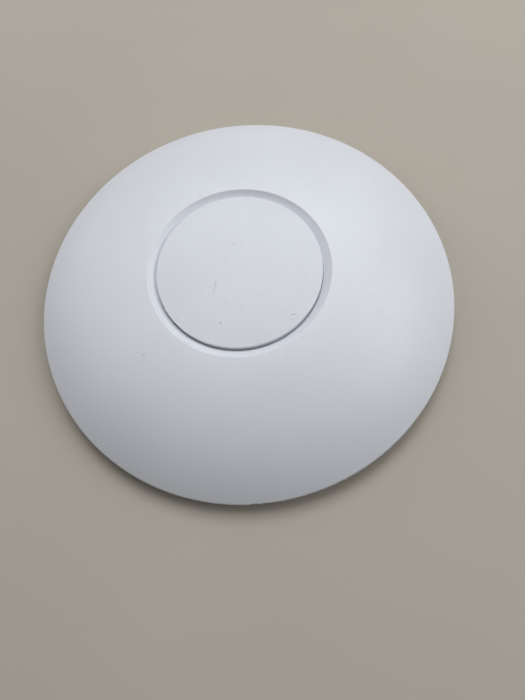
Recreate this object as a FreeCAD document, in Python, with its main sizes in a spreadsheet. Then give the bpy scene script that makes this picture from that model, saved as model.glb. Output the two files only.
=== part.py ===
import FreeCAD, Part
import math
import os

import Sketcher

# Round ceiling access point: a shallow domed housing that twists onto a flat ceiling bracket.
#
# Frame: millimetres. z = 0 is the back face of the bracket, which lies against the ceiling,
# and +Z points out of the domed front. The origin is on the dome's axis. The port bay opens
# towards +Y, and the hole that releases the bracket's latch is on the +X side.
#
# Every size is a named cell of the sheet below, or worked out from named cells.

SHEET_NAME = "Dimensions"

DIMENSIONS = {
    # Dome: a flat crown arc that runs into a tighter shoulder arc, then a small round at the rim
    "cover_radius": 98.35,
    "cover_apex": 34.7,
    "cover_wall": 2.2,
    "crown_radius": 400.0,
    "crown_reach": 40.0,
    "shoulder_radius": 108.0,
    "rim_round": 1.3,
    "rim_inner_radius": 94.2,
    # Opening round the centre disc
    "opening_radius": 36.9,
    "bevel_radius": 40.5,
    "bevel_bottom": 30.1,
    "bevel_edge_round": 0.5,
    "lip_radius": 41.2,
    "ring_top": 29.4,
    # Centre disc
    "disc_apex": 35.0,
    "disc_crown_radius": 268.0,
    "disc_radius": 36.55,
    "disc_wall": 2.0,
    "disc_edge_round": 0.25,
    "peg_radius": 1.5,
    "peg_circle": 32.6,
    "peg_bottom": 26.9,
    # Light ring under the gap, with legs that reach down to the lamps on the board
    "ring_inner_radius": 29.5,
    "ring_outer_radius": 40.8,
    "ring_thickness": 2.0,
    "peg_hole_radius": 1.55,
    "leg_circle": 38.0,
    "leg_side": 3.0,
    "leg_bottom": 22.3,
    # Back cover
    "base_height": 0.5,
    "back_wall": 2.0,
    "flank_start": 83.0,
    "flank_radius": 96.4,
    "flank_lip": 0.3,
    "tongue_outer_radius": 93.6,
    "tongue_inner_radius": 92.2,
    "tongue_top": 8.6,
    "recess_radius": 60.0,
    "recess_wall": 4.0,
    "recess_floor": 4.5,
    # Port bay and cable channel
    "bay_half_width": 22.0,
    "bay_near": 36.0,
    "bay_far": 70.0,
    "bay_ceiling": 17.2,
    "bay_wall": 1.8,
    "window_width": 13.2,
    "window_bottom": 7.6,
    "window_top": 16.9,
    "channel_half_width": 6.0,
    "channel_wall": 2.0,
    "channel_rise": 5.0,
    # Screws that hold the two covers together, driven from the back
    "screw_angle": 45.0,
    "cover_screw_circle": 76.0,
    "cover_boss_radius": 3.5,
    "cover_boss_bottom": 8.0,
    "cover_boss_top": 20.6,
    "well_radius": 5.0,
    "well_bore_radius": 3.1,
    "well_floor": 5.5,
    "cover_screw_head_radius": 2.8,
    "cover_screw_head_height": 2.0,
    "cover_screw_tip": 15.5,
    "screw_shank_radius": 1.25,
    "screw_pilot_radius": 1.3,
    "screw_clearance_radius": 1.5,
    "screw_recess_width": 0.7,
    "screw_recess_length": 2.6,
    "screw_recess_depth": 1.1,
    # Board, its standoffs and its screws
    "board_radius": 70.0,
    "board_bottom": 19.5,
    "board_thickness": 1.6,
    "board_screw_circle": 65.0,
    "board_boss_radius": 3.2,
    "board_screw_head_radius": 2.5,
    "board_screw_head_height": 1.6,
    "board_screw_tip": 8.0,
    # Aluminium heat spreader between the back cover and the board
    "spreader_bottom": 13.0,
    "spreader_thickness": 1.8,
    "spreader_radius": 62.0,
    "spreader_ear_radius": 4.5,
    "spreader_notch_half_width": 25.0,
    "spreader_notch_start": 10.5,
    "pedestal_width": 34.0,
    "pedestal_depth": 24.0,
    "pedestal_height": 1.5,
    "standoff_radius": 3.0,
    # Ceiling bracket
    "bracket_radius": 58.0,
    "bracket_thickness": 3.0,
    "bracket_opening_radius": 22.0,
    "bracket_slot_half_width": 18.0,
    "bracket_slot_reach": 50.0,
    "bracket_rib_height": 0.8,
    "bracket_rib_width": 1.6,
    "anchor_spacing": 66.0,
    "anchor_hole_radius": 2.25,
    "box_spacing_small": 60.0,
    "box_spacing_large": 83.3,
    "box_slot_length": 7.0,
    "box_slot_half_width": 2.1,
    "head_recess_depth": 1.4,
    "head_recess_margin": 2.3,
    # Bayonet hooks on the bracket and their slots in the back cover, as angles about the axis
    "hook_angle": 30.0,
    "hook_half_angle": 4.0,
    "hook_middle_radius": 52.0,
    "hook_stem_width": 3.0,
    "hook_head_width": 6.0,
    "hook_head_bottom": 6.9,
    "hook_head_top": 8.4,
    "hook_clearance": 0.4,
    "hook_margin_angle": 1.0,
    "twist_angle": 22.0,
    # Latch arm cut free of the bracket's edge
    "latch_root_angle": -38.0,
    "latch_tip_angle": 2.0,
    "latch_tooth_angle": -3.0,
    "latch_window_angle": 5.0,
    "latch_window_radius": 49.5,
    "latch_inner_radius": 53.5,
    "latch_outer_radius": 57.5,
    "latch_tooth_radius": 61.5,
    "latch_bottom": 0.6,
    "latch_root_gap_angle": 0.3,
    "latch_pocket_radius": 62.3,
    "latch_pocket_top": 3.4,
    "release_hole_radius": 1.0,
    "release_hole_height": 1.9,
    "release_rib_half_width": 3.0,
    "release_rib_top": 4.2,
    # Door over the cable channel
    "door_half_width": 5.7,
    "door_start": 74.0,
    "door_wall": 1.5,
    "door_grip_depth": 0.7,
    "door_grip_width": 1.2,
    "door_grip_pitch": 2.6,
    # Blank rating label
    "label_width": 34.0,
    "label_depth": 14.0,
    "label_middle": -6.0,
    "label_thickness": 0.15,
    "label_corner": 1.0,
    # Ethernet jacks
    "jack_width": 16.2,
    "jack_length": 21.3,
    "jack_height": 12.4,
    "jack_shell_wall": 0.4,
    "jack_fit_gap": 0.05,
    "jack_main_x": -12.5,
    "jack_aux_x": 5.3,
    "socket_half_width": 5.9,
    "socket_bottom": 9.6,
    "socket_top": 16.3,
    "socket_depth": 14.0,
    "tab_half_width": 3.2,
    "tab_bottom": 8.3,
    "tab_depth": 9.0,
    "contact_pitch": 1.02,
    "contact_width": 0.36,
    "contact_drop": 1.9,
    "contact_thickness": 0.35,
    "contact_front_inset": 2.2,
    "contact_back_inset": 11.8,
    # Reset switch and its button
    "reset_x": 18.2,
    "reset_height": 15.5,
    "reset_hole_radius": 1.5,
    "reset_button_radius": 1.2,
    "reset_flange_radius": 1.45,
    "reset_flange_width": 0.9,
    "reset_button_back": 32.5,
    "reset_button_front": 35.4,
    "reset_switch_width": 5.6,
    "reset_switch_depth": 3.5,
    "reset_switch_face": 32.0,
    "reset_switch_drop": 5.5,
    # Electronics
    "can_wall": 0.3,
    "inner_pad_thickness": 0.5,
    "antenna_sheet": 0.4,
    "antenna_leg_width": 1.2,
    "antenna_slot_width": 1.0,
    "lamp_side": 1.6,
    "lamp_height": 0.8,
    "transformer_core": 3.0,
    "transformer_inset": 1.4,
    "capacitor_base_height": 0.8,
    "capacitor_base_margin": 0.2,
}

# Components on the board: centre x, centre y, width, depth, height above or below the board
COMPONENTS = {
    "main_processor": (-8.0, -21.0, 19.0, 19.0, 1.4),
    "memory_front": (12.0, -14.5, 11.0, 8.0, 1.0),
    "memory_back": (12.0, -27.5, 11.0, 8.0, 1.0),
    "processor_shield": (0.0, -21.0, 42.0, 30.0, 2.2),
    "flash_chip": (-32.0, -12.0, 8.0, 6.0, 0.8),
    "radio_chip_24": (-24.0, -14.0, 10.0, 10.0, 0.9),
    "radio_shield_24": (-24.0, -14.0, 26.0, 20.0, 2.6),
    "radio_chip_5": (24.0, -14.0, 12.0, 12.0, 0.9),
    "radio_shield_5": (24.0, -14.0, 26.0, 20.0, 2.6),
    "poe_transformer": (0.0, 2.0, 14.0, 13.0, 8.2),
    "magnetics_main": (-13.0, 28.0, 15.0, 9.0, 4.0),
    "magnetics_aux": (6.0, 28.0, 15.0, 9.0, 4.0),
    "inductor_left": (-15.0, 14.0, 7.0, 7.0, 3.0),
    "inductor_right": (15.0, 14.0, 7.0, 7.0, 3.0),
    "capacitor_left": (-5.0, 16.0, 6.3, 6.3, 7.7),
    "capacitor_right": (5.0, 16.0, 6.3, 6.3, 7.7),
    "crystal_radio": (0.0, -14.0, 3.2, 2.5, 0.8),
    "crystal_processor": (0.0, -22.0, 3.2, 2.5, 0.8),
    "antenna_24": (52.0, 0.0, 7.0, 22.0, 5.0),
    "antenna_5": (53.0, 0.0, 6.0, 13.0, 4.4),
}
COMPONENT_FIELDS = ("x", "y", "width", "depth", "height")

# Antennas stand round the board's edge, the two bands in turn
ANTENNAS_24 = {"antenna_24_a": 90.0, "antenna_24_b": 210.0, "antenna_24_c": 330.0}
ANTENNAS_5 = {"antenna_5_a": 25.0, "antenna_5_b": 155.0, "antenna_5_c": 270.0}

SCREW_COUNT = 4
HOOK_COUNT = 3
CONTACT_COUNT = 8
GRIP_COUNT = 3

# Sketches that cut right through start and end this far outside the solid
BEYOND = 1.0

LEFT = 1
RIGHT = -1

DOCUMENT = FreeCAD.newDocument("CeilingAccessPoint")


class Size:
    """A length or angle, held as a number and as the sheet expression that gives it."""

    def __init__(self, value, text):
        self.value = value
        self.text = text

    def __add__(self, other):
        other = as_size(other)
        return Size(self.value + other.value, "(%s + %s)" % (self.text, other.text))

    def __sub__(self, other):
        other = as_size(other)
        return Size(self.value - other.value, "(%s - %s)" % (self.text, other.text))

    def __mul__(self, other):
        other = as_size(other)
        return Size(self.value * other.value, "(%s * %s)" % (self.text, other.text))

    def __truediv__(self, other):
        other = as_size(other)
        return Size(self.value / other.value, "(%s / %s)" % (self.text, other.text))

    def __neg__(self):
        return as_size(0) - self

    def __radd__(self, other):
        return as_size(other) + self

    def __rsub__(self, other):
        return as_size(other) - self

    def __rmul__(self, other):
        return as_size(other) * self


def as_size(value):
    """Turn a plain number into a Size, and leave a Size as it is."""
    if isinstance(value, Size):
        return value
    text = "%.9g" % value
    return Size(float(value), "(%s)" % text if value < 0 else text)


def root(size):
    """Square root of a Size."""
    return Size(math.sqrt(size.value), "sqrt(%s)" % size.text)


def square(size):
    """A Size times itself."""
    return size * size


def polar(radius, angle):
    """The (x, y) pair at a radius and an angle in degrees about the axis."""
    radius = as_size(radius)
    angle = as_size(angle)
    turn = math.radians(angle.value)
    cosine = Size(math.cos(turn), "cos(%s)" % angle.text)
    sine = Size(math.sin(turn), "sin(%s)" % angle.text)
    return radius * cosine, radius * sine


class Dimensions:
    """The sheet's cells as Sizes, read by name."""

    def __init__(self, values):
        sheet = DOCUMENT.addObject("Spreadsheet::Sheet", SHEET_NAME)
        for row, (name, value) in enumerate(values.items(), start=1):
            sheet.set("A%d" % row, name)
            sheet.set("B%d" % row, "%.9g" % value)
            sheet.setAlias("B%d" % row, name)
            setattr(self, name, Size(value, "%s.%s" % (SHEET_NAME, name)))

    def component(self, name):
        """The five sizes of one component on the board."""
        return [getattr(self, "%s_%s" % (name, field)) for field in COMPONENT_FIELDS]


class Corner:
    """A point of a closed outline. An arc's radius and turn belong to the edge that leaves it."""

    def __init__(self, x, y, arc=None, turn=LEFT):
        self.x = as_size(x)
        self.y = as_size(y)
        self.arc = None if arc is None else as_size(arc)
        self.turn = turn

    def vector(self):
        return FreeCAD.Vector(self.x.value, self.y.value, 0)


class Circle:
    """A round hole or a round bar in a sketch."""

    def __init__(self, x, y, radius):
        self.x = as_size(x)
        self.y = as_size(y)
        self.radius = as_size(radius)


def span(x_low, x_high, y_low, y_high):
    """A rectangle from its four sides."""
    return [Corner(x_low, y_low), Corner(x_high, y_low), Corner(x_high, y_high), Corner(x_low, y_high)]


def rectangle(x, y, width, depth):
    """A rectangle from its centre and its size."""
    half_width = as_size(width) / 2
    half_depth = as_size(depth) / 2
    return span(x - half_width, x + half_width, y - half_depth, y + half_depth)


def rounded_rectangle(x, y, width, depth, corner):
    """A rectangle from its centre and size, with a quarter round at each corner."""
    half_width = as_size(width) / 2
    half_depth = as_size(depth) / 2
    left = x - half_width
    right = x + half_width
    low = y - half_depth
    high = y + half_depth
    return [
        Corner(left + corner, low),
        Corner(right - corner, low, corner),
        Corner(right, low + corner),
        Corner(right, high - corner, corner),
        Corner(right - corner, high),
        Corner(left + corner, high, corner),
        Corner(left, high - corner),
        Corner(left, low + corner, corner),
    ]


def slot(x, y, length, half_width):
    """A slot that runs along X, each end made of two quarter rounds."""
    reach = length / 2
    straight = reach - half_width
    return [
        Corner(x - straight, y - half_width),
        Corner(x + straight, y - half_width, half_width),
        Corner(x + reach, y, half_width),
        Corner(x + straight, y + half_width),
        Corner(x - straight, y + half_width, half_width),
        Corner(x - reach, y, half_width),
    ]


def sector(inner, outer, start, end):
    """Part of a ring between two radii and two angles in degrees."""
    return [
        Corner(*polar(outer, start), outer, LEFT),
        Corner(*polar(outer, end)),
        Corner(*polar(inner, end), inner, RIGHT),
        Corner(*polar(inner, start)),
    ]


def arc_between(start, end, radius, turn):
    """The shorter arc from start to end that turns LEFT or RIGHT with the given radius."""
    chord = end - start
    half = chord.Length / 2
    normal = FreeCAD.Vector(-chord.y, chord.x, 0)
    normal.normalize()
    away = math.sqrt(max(radius * radius - half * half, 0.0))
    centre = (start + end) * 0.5 + normal * (away * turn)
    circle = Part.Circle(centre, FreeCAD.Vector(0, 0, 1), radius)
    first, last = (start, end) if turn == LEFT else (end, start)
    low = math.atan2(first.y - centre.y, first.x - centre.x)
    high = math.atan2(last.y - centre.y, last.x - centre.x)
    if high < low:
        high += 2 * math.pi
    return Part.ArcOfCircle(circle, low, high)


class Drawing:
    """Fills a sketch with outlines and circles whose constraints are bound to the sheet."""

    START = 1
    END = 2
    CENTRE = 3
    ORIGIN = -1
    ACROSS = -1
    UPRIGHT = -2

    def __init__(self, sketch):
        self.sketch = sketch

    def add(self, loop):
        """Draw one closed loop: a Circle or a list of Corners."""
        if isinstance(loop, Circle):
            self.add_circle(loop)
        else:
            self.add_outline(loop)

    def add_circle(self, circle):
        """Draw a circle held by its centre and radius."""
        centre = FreeCAD.Vector(circle.x.value, circle.y.value, 0)
        shape = Part.Circle(centre, FreeCAD.Vector(0, 0, 1), circle.radius.value)
        edge = self.sketch.addGeometry(shape, False)
        self.bind(Sketcher.Constraint("Radius", edge, circle.radius.value), circle.radius)
        self.pin(edge, self.CENTRE, circle)

    def add_outline(self, corners):
        """Draw a closed outline held by its corners and the radii of its arcs."""
        first = self.sketch.GeometryCount
        count = len(corners)
        ends = []
        for index, corner in enumerate(corners):
            start = corner.vector()
            end = corners[(index + 1) % count].vector()
            if corner.arc is None:
                self.sketch.addGeometry(Part.LineSegment(start, end), False)
            else:
                arc = arc_between(start, end, corner.arc.value, corner.turn)
                self.sketch.addGeometry(arc, False)
            backwards = corner.arc is not None and corner.turn == RIGHT
            ends.append((self.END, self.START) if backwards else (self.START, self.END))
        for index, corner in enumerate(corners):
            following = (index + 1) % count
            joint = (first + index, ends[index][1], first + following, ends[following][0])
            self.sketch.addConstraint(Sketcher.Constraint("Coincident", *joint))
            if corner.arc is not None:
                self.bind(Sketcher.Constraint("Radius", first + index, corner.arc.value), corner.arc)
            self.pin(first + index, ends[index][0], corner)

    def pin(self, edge, point, place):
        """Hold a point of an edge at its place, on an axis where a coordinate is zero."""
        for kind, axis, size in (("DistanceX", self.UPRIGHT, place.x), ("DistanceY", self.ACROSS, place.y)):
            if abs(size.value) < 1e-9:
                self.sketch.addConstraint(Sketcher.Constraint("PointOnObject", edge, point, axis))
            else:
                self.bind(Sketcher.Constraint(kind, self.ORIGIN, 1, edge, point, size.value), size)

    def bind(self, constraint, size):
        """Add a constraint and bind its value to the sheet."""
        index = self.sketch.addConstraint(constraint)
        self.sketch.setExpression("Constraints[%d]" % index, size.text)


class Piece:
    """One sub-part: a body built feature by feature from outlines bound to the sheet."""

    def __init__(self, label):
        self.body = DOCUMENT.addObject("PartDesign::Body", label)
        self.body.Label = label

    def origin_feature(self, role):
        """An origin plane or axis of this body, by its role."""
        return [item for item in self.body.Origin.OriginFeatures if item.Role == role][0]

    def sketch(self, name, plane, loops, offset=None):
        """A sketch on an origin plane, moved along the plane's normal by a bound offset."""
        sketch = self.body.newObject("Sketcher::SketchObject", "%s_%s_sketch" % (self.body.Label, name))
        sketch.AttachmentSupport = [(self.origin_feature(plane), "")]
        sketch.MapMode = "FlatFace"
        if offset is not None:
            sketch.setExpression("AttachmentOffset.Base.z", as_size(offset).text)
        drawing = Drawing(sketch)
        for loop in loops:
            drawing.add(loop)
        return sketch

    def feature(self, kind, name, sketch):
        """A feature made from a sketch."""
        feature = self.body.newObject("PartDesign::" + kind, "%s_%s" % (self.body.Label, name))
        feature.Profile = sketch
        return feature

    def revolve(self, name, outline):
        """Turn an outline of (radius, height) corners about the axis."""
        sketch = self.sketch(name, "XZ_Plane", [outline])
        feature = self.feature("Revolution", name, sketch)
        feature.ReferenceAxis = (sketch, ["V_Axis"])
        feature.Angle = 360
        return feature

    def pad(self, name, loops, low, high):
        """Raise loops drawn in plan from one height to another."""
        feature = self.feature("Pad", name, self.sketch(name, "XY_Plane", loops, low))
        feature.setExpression("Length", (as_size(high) - low).text)
        return feature

    def cut(self, name, loops, low, high):
        """Remove loops drawn in plan between two heights."""
        feature = self.feature("Pocket", name, self.sketch(name, "XY_Plane", loops, low))
        feature.Reversed = True
        feature.setExpression("Length", (as_size(high) - low).text)
        return feature

    def pad_across(self, name, outline, half_width, plane="YZ_Plane"):
        """Raise an outline drawn on an upright plane through the axis by the same amount each way."""
        feature = self.feature("Pad", name, self.sketch(name, plane, [outline]))
        feature.Midplane = True
        feature.setExpression("Length", (as_size(half_width) * 2).text)
        return feature

    def pad_y(self, name, loops, low, high):
        """Raise loops drawn as (x, z) between two places on Y. The plane's normal is -Y."""
        feature = self.feature("Pad", name, self.sketch(name, "XZ_Plane", loops, -as_size(high)))
        feature.setExpression("Length", (as_size(high) - low).text)
        return feature

    def cut_y(self, name, loops, low, high):
        """Remove loops drawn as (x, z) between two places on Y. The plane's normal is -Y."""
        feature = self.feature("Pocket", name, self.sketch(name, "XZ_Plane", loops, -as_size(low)))
        feature.setExpression("Length", (as_size(high) - low).text)
        return feature

    def cut_x(self, name, loops, low, high):
        """Remove loops drawn as (y, z) between two places on X."""
        feature = self.feature("Pocket", name, self.sketch(name, "YZ_Plane", loops, low))
        feature.Reversed = True
        feature.setExpression("Length", (as_size(high) - low).text)
        return feature

    def around(self, feature, count):
        """Repeat a feature evenly about the axis."""
        pattern = self.body.newObject("PartDesign::PolarPattern", feature.Name + "_around")
        pattern.Originals = [feature]
        pattern.Axis = (self.origin_feature("Z_Axis"), [""])
        pattern.Angle = 360
        pattern.Occurrences = count
        self.body.Tip = pattern
        return pattern

    def along(self, feature, axis, pitch, count):
        """Repeat a feature along an axis of the body at a bound pitch."""
        pattern = self.body.newObject("PartDesign::LinearPattern", feature.Name + "_along")
        pattern.Originals = [feature]
        pattern.Direction = (self.origin_feature(axis), [""])
        pattern.setExpression("Length", (as_size(pitch) * (count - 1)).text)
        pattern.Occurrences = count
        self.body.Tip = pattern
        return pattern

    def round_edge(self, name, radius, edge_radius):
        """Round the first full edge circle of the given radius."""
        DOCUMENT.recompute()
        tip = self.body.Tip
        for number, edge in enumerate(tip.Shape.Edges, start=1):
            is_circle = isinstance(edge.Curve, Part.Circle)
            if is_circle and abs(edge.Curve.Radius - edge_radius.value) < 1e-4:
                fillet = self.body.newObject("PartDesign::Fillet", "%s_%s" % (self.body.Label, name))
                fillet.Base = (tip, ["Edge%d" % number])
                fillet.setExpression("Radius", radius.text)
                return fillet
        raise RuntimeError("%s has no edge of radius %g" % (self.body.Label, edge_radius.value))

    def turn_about_axis(self, angle):
        """Place the whole piece at an angle about Z."""
        self.body.setExpression("Placement.Rotation.Angle", as_size(angle).text)


# ---- Shared geometry ------------------------------------------------------------------------


def shoulder_centre(d):
    """Centre of the shoulder arc, which leaves the crown arc without a kink at crown_reach."""
    across = d.crown_reach * (1 - d.shoulder_radius / d.crown_radius)
    lean = root(1 - square(d.crown_reach / d.crown_radius))
    height = d.cover_apex - d.crown_radius + (d.crown_radius - d.shoulder_radius) * lean
    return across, height


def dome_height(d, radius, depth=0):
    """Height of the dome at a radius on its shoulder, measured a depth below the outside."""
    across, height = shoulder_centre(d)
    return height + root(square(d.shoulder_radius - depth) - square(as_size(radius) - across))


def edge_round(centre, arc_radius, round_radius, wall_radius):
    """A round that leaves an arc smoothly and turns down into a wall at wall_radius.

    Gives the point where the round leaves the arc, and the round's own centre.
    """
    across, height = centre
    inner = arc_radius - round_radius
    round_x = wall_radius - round_radius
    rise = root(square(inner) - square(round_x - across))
    scale = arc_radius / inner
    leaves = (across + (round_x - across) * scale, height + rise * scale)
    return leaves, (round_x, height + rise)


def parting_height(d):
    """Height of the line where the front cover meets the back cover, the bottom of the rim round."""
    _, centre = edge_round(shoulder_centre(d), d.shoulder_radius, d.rim_round, d.cover_radius)
    return centre[1] - d.rim_round


def flank_arc(d):
    """Radius of the back cover's outer flank, level at flank_start and rising to the rim."""
    across = d.flank_radius - d.flank_start
    rise = parting_height(d) - d.flank_lip - d.base_height
    return (square(across) + square(rise)) / (2 * rise)


def flank_inside_height(d, radius, wall):
    """Height of the flank's inner face at a radius, for a wall of the given thickness."""
    arc = flank_arc(d)
    return d.base_height + arc - root(square(arc - wall) - square(radius - d.flank_start))


def board_top(d):
    return d.board_bottom + d.board_thickness


def spreader_top(d):
    return d.spreader_bottom + d.spreader_thickness


def recess_floor_top(d):
    return d.recess_floor + d.back_wall


# ---- Housing --------------------------------------------------------------------------------


def build_front_cover(d):
    """Domed front shell with the round opening for the centre disc and four screw bosses."""
    piece = Piece("front_cover")
    centre = shoulder_centre(d)
    leaves, rim = edge_round(centre, d.shoulder_radius, d.rim_round, d.cover_radius)
    inner_arc = d.shoulder_radius - d.cover_wall
    piece.revolve("Dome", [
        Corner(d.bevel_radius, dome_height(d, d.bevel_radius), d.shoulder_radius, RIGHT),
        Corner(*leaves, d.rim_round, RIGHT),
        Corner(rim[0], rim[1] - d.rim_round),
        Corner(d.rim_inner_radius, rim[1] - d.rim_round),
        Corner(d.rim_inner_radius, dome_height(d, d.rim_inner_radius, d.cover_wall), inner_arc, LEFT),
        Corner(d.lip_radius, dome_height(d, d.lip_radius, d.cover_wall)),
        Corner(d.lip_radius, d.ring_top),
        Corner(d.opening_radius, d.ring_top),
        Corner(d.opening_radius, d.bevel_bottom),
    ])
    spot = polar(d.cover_screw_circle, d.screw_angle)
    boss = piece.pad("Boss", [Circle(*spot, d.cover_boss_radius)], d.cover_boss_bottom, d.cover_boss_top)
    piece.around(boss, SCREW_COUNT)
    pilot = piece.cut("Pilot", [Circle(*spot, d.screw_pilot_radius)],
                      d.cover_boss_bottom - BEYOND, d.cover_screw_tip + BEYOND)
    piece.around(pilot, SCREW_COUNT)
    piece.round_edge("BevelEdge", d.bevel_edge_round, d.bevel_radius)
    return piece


def build_centre_disc(d):
    """Shallow cap in the middle of the dome, with a skirt and four pegs."""
    piece = Piece("centre_disc")
    crown_centre = (as_size(0), d.disc_apex - d.disc_crown_radius)
    leaves, edge = edge_round(crown_centre, d.disc_crown_radius, d.disc_edge_round, d.disc_radius)
    inner_radius = d.disc_radius - d.disc_wall
    inner_arc = d.disc_crown_radius - d.disc_wall
    under_edge = d.disc_apex - d.disc_crown_radius + root(square(inner_arc) - square(inner_radius))
    piece.revolve("Cap", [
        Corner(0, d.disc_apex, d.disc_crown_radius, RIGHT),
        Corner(*leaves, d.disc_edge_round, RIGHT),
        Corner(d.disc_radius, edge[1]),
        Corner(d.disc_radius, d.ring_top),
        Corner(inner_radius, d.ring_top),
        Corner(inner_radius, under_edge, inner_arc, LEFT),
        Corner(0, d.disc_apex - d.disc_wall),
    ])
    spot = polar(d.peg_circle, d.screw_angle)
    peg_top = d.disc_apex - d.disc_wall
    peg = piece.pad("Peg", [Circle(*spot, d.peg_radius)], d.peg_bottom, peg_top)
    piece.around(peg, SCREW_COUNT)
    return piece


def build_light_ring(d):
    """Clear ring under the gap round the disc, with a leg over each lamp on the board."""
    piece = Piece("light_ring")
    bottom = d.ring_top - d.ring_thickness
    piece.revolve("Ring", span(d.ring_inner_radius, d.ring_outer_radius, bottom, d.ring_top))
    leg_loop = rectangle(d.leg_circle, as_size(0), d.leg_side, d.leg_side)
    leg = piece.pad("Leg", [leg_loop], d.leg_bottom, bottom + d.ring_thickness / 2)
    piece.around(leg, SCREW_COUNT)
    spot = polar(d.peg_circle, d.screw_angle)
    hole = piece.cut("PegHole", [Circle(*spot, d.peg_hole_radius)], bottom - BEYOND, d.ring_top + BEYOND)
    piece.around(hole, SCREW_COUNT)
    return piece


def build_back_cover(d):
    """Shallow back shell with the bracket recess, port bay, cable channel and screw wells."""
    piece = Piece("back_cover")
    piece.revolve("Shell", back_shell_outline(d))
    add_port_bay(piece, d)
    add_cable_channel(piece, d)
    add_cover_screw_wells(piece, d)
    add_board_bosses(piece, d)
    add_bayonet_slots(piece, d)
    add_latch_pocket(piece, d)
    return piece


def back_shell_outline(d):
    """Section of the back cover from the axis out to the tongue inside the front cover's rim."""
    parting = parting_height(d)
    arc = flank_arc(d)
    inside = d.base_height + d.back_wall
    wall_radius = d.recess_radius + d.recess_wall
    return [
        Corner(d.recess_radius, d.base_height),
        Corner(d.flank_start, d.base_height, arc, LEFT),
        Corner(d.flank_radius, parting - d.flank_lip),
        Corner(d.flank_radius, parting),
        Corner(d.tongue_outer_radius, parting),
        Corner(d.tongue_outer_radius, d.tongue_top),
        Corner(d.tongue_inner_radius, d.tongue_top),
        Corner(d.tongue_inner_radius, flank_inside_height(d, d.tongue_inner_radius, d.back_wall),
               arc - d.back_wall, RIGHT),
        Corner(d.flank_start, inside),
        Corner(wall_radius, inside),
        Corner(wall_radius, recess_floor_top(d)),
        Corner(0, recess_floor_top(d)),
        Corner(0, d.recess_floor),
        Corner(d.recess_radius, d.recess_floor),
    ]


def add_port_bay(piece, d):
    """Box-shaped bay, open at the back, with a window for each jack in its end wall."""
    side = d.bay_half_width + d.bay_wall
    near = d.bay_near - d.bay_wall
    far = d.bay_far + d.bay_wall
    top = d.bay_ceiling + d.bay_wall
    seat = d.base_height + d.back_wall / 2
    piece.pad("BayBlock", [span(-side, side, near, far)], d.recess_floor, top)
    piece.pad("BayFoot", [span(-side, side, d.recess_radius, far)], seat, d.recess_floor + d.back_wall / 2)
    opening = span(-d.bay_half_width, d.bay_half_width, d.bay_near, d.bay_far)
    piece.cut("Bay", [opening], -BEYOND, d.bay_ceiling)
    depth = d.bay_wall + 2 * BEYOND
    middle = d.bay_near - d.bay_wall / 2
    windows = [rectangle(x, middle, d.window_width, depth) for x in (d.jack_main_x, d.jack_aux_x)]
    piece.cut("JackWindows", windows, d.window_bottom, d.window_top)
    piece.cut_y("ResetHole", [Circle(d.reset_x, d.reset_height, d.reset_hole_radius)],
                near - BEYOND, d.bay_near + BEYOND)


def add_cable_channel(piece, d):
    """Straight channel from the port bay out to the rim, open at the back."""
    floor = d.base_height + d.back_wall / 2
    outer = d.channel_half_width + d.channel_wall
    end = d.tongue_outer_radius - d.back_wall / 4
    top = parting_height(d) + d.channel_wall
    piece.pad_across("ChannelBlock", [
        Corner(d.bay_far, floor),
        Corner(d.flank_start, floor),
        Corner(end, d.channel_rise),
        Corner(end, top),
        Corner(d.bay_far, top),
    ], outer)
    half = d.channel_half_width
    piece.cut("Channel", [span(-half, half, d.bay_far - BEYOND, d.cover_radius + BEYOND)],
              -BEYOND, parting_height(d))


def add_cover_screw_wells(piece, d):
    """Deep wells from the back for the screws that pull the two covers together."""
    spot = polar(d.cover_screw_circle, d.screw_angle)
    floor = d.base_height + d.back_wall / 2
    well = piece.pad("Well", [Circle(*spot, d.well_radius)], floor, d.cover_boss_bottom)
    piece.around(well, SCREW_COUNT)
    bore = piece.cut("WellBore", [Circle(*spot, d.well_bore_radius)], -BEYOND, d.well_floor)
    piece.around(bore, SCREW_COUNT)
    hole = piece.cut("WellHole", [Circle(*spot, d.screw_clearance_radius)],
                     -BEYOND, d.cover_boss_bottom + BEYOND)
    piece.around(hole, SCREW_COUNT)


def add_board_bosses(piece, d):
    """Four bosses that carry the heat spreader and the board."""
    spot = polar(d.board_screw_circle, d.screw_angle)
    floor = d.base_height + d.back_wall / 2
    boss = piece.pad("BoardBoss", [Circle(*spot, d.board_boss_radius)], floor, d.spreader_bottom)
    piece.around(boss, SCREW_COUNT)
    pilot = piece.cut("BoardPilot", [Circle(*spot, d.screw_pilot_radius)],
                      d.board_screw_tip - BEYOND, d.spreader_bottom + BEYOND)
    piece.around(pilot, SCREW_COUNT)


def add_bayonet_slots(piece, d):
    """Three keyhole slots in the recess floor: a wide end to enter, a narrow run to lock."""
    reach = d.hook_half_angle + d.hook_margin_angle
    wide_start = d.hook_angle - d.twist_angle - reach
    wide_end = d.hook_angle - d.twist_angle + reach
    slot_end = d.hook_angle + reach
    low = d.recess_floor - BEYOND
    high = recess_floor_top(d) + BEYOND
    for name, width, start, end in (
        ("SlotEntry", d.hook_head_width, wide_start, wide_end),
        ("SlotRun", d.hook_stem_width, wide_end - d.hook_margin_angle, slot_end),
    ):
        half = width / 2 + d.hook_clearance
        loop = sector(d.hook_middle_radius - half, d.hook_middle_radius + half, start, end)
        piece.around(piece.cut(name, [loop], low, high), HOOK_COUNT)


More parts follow.
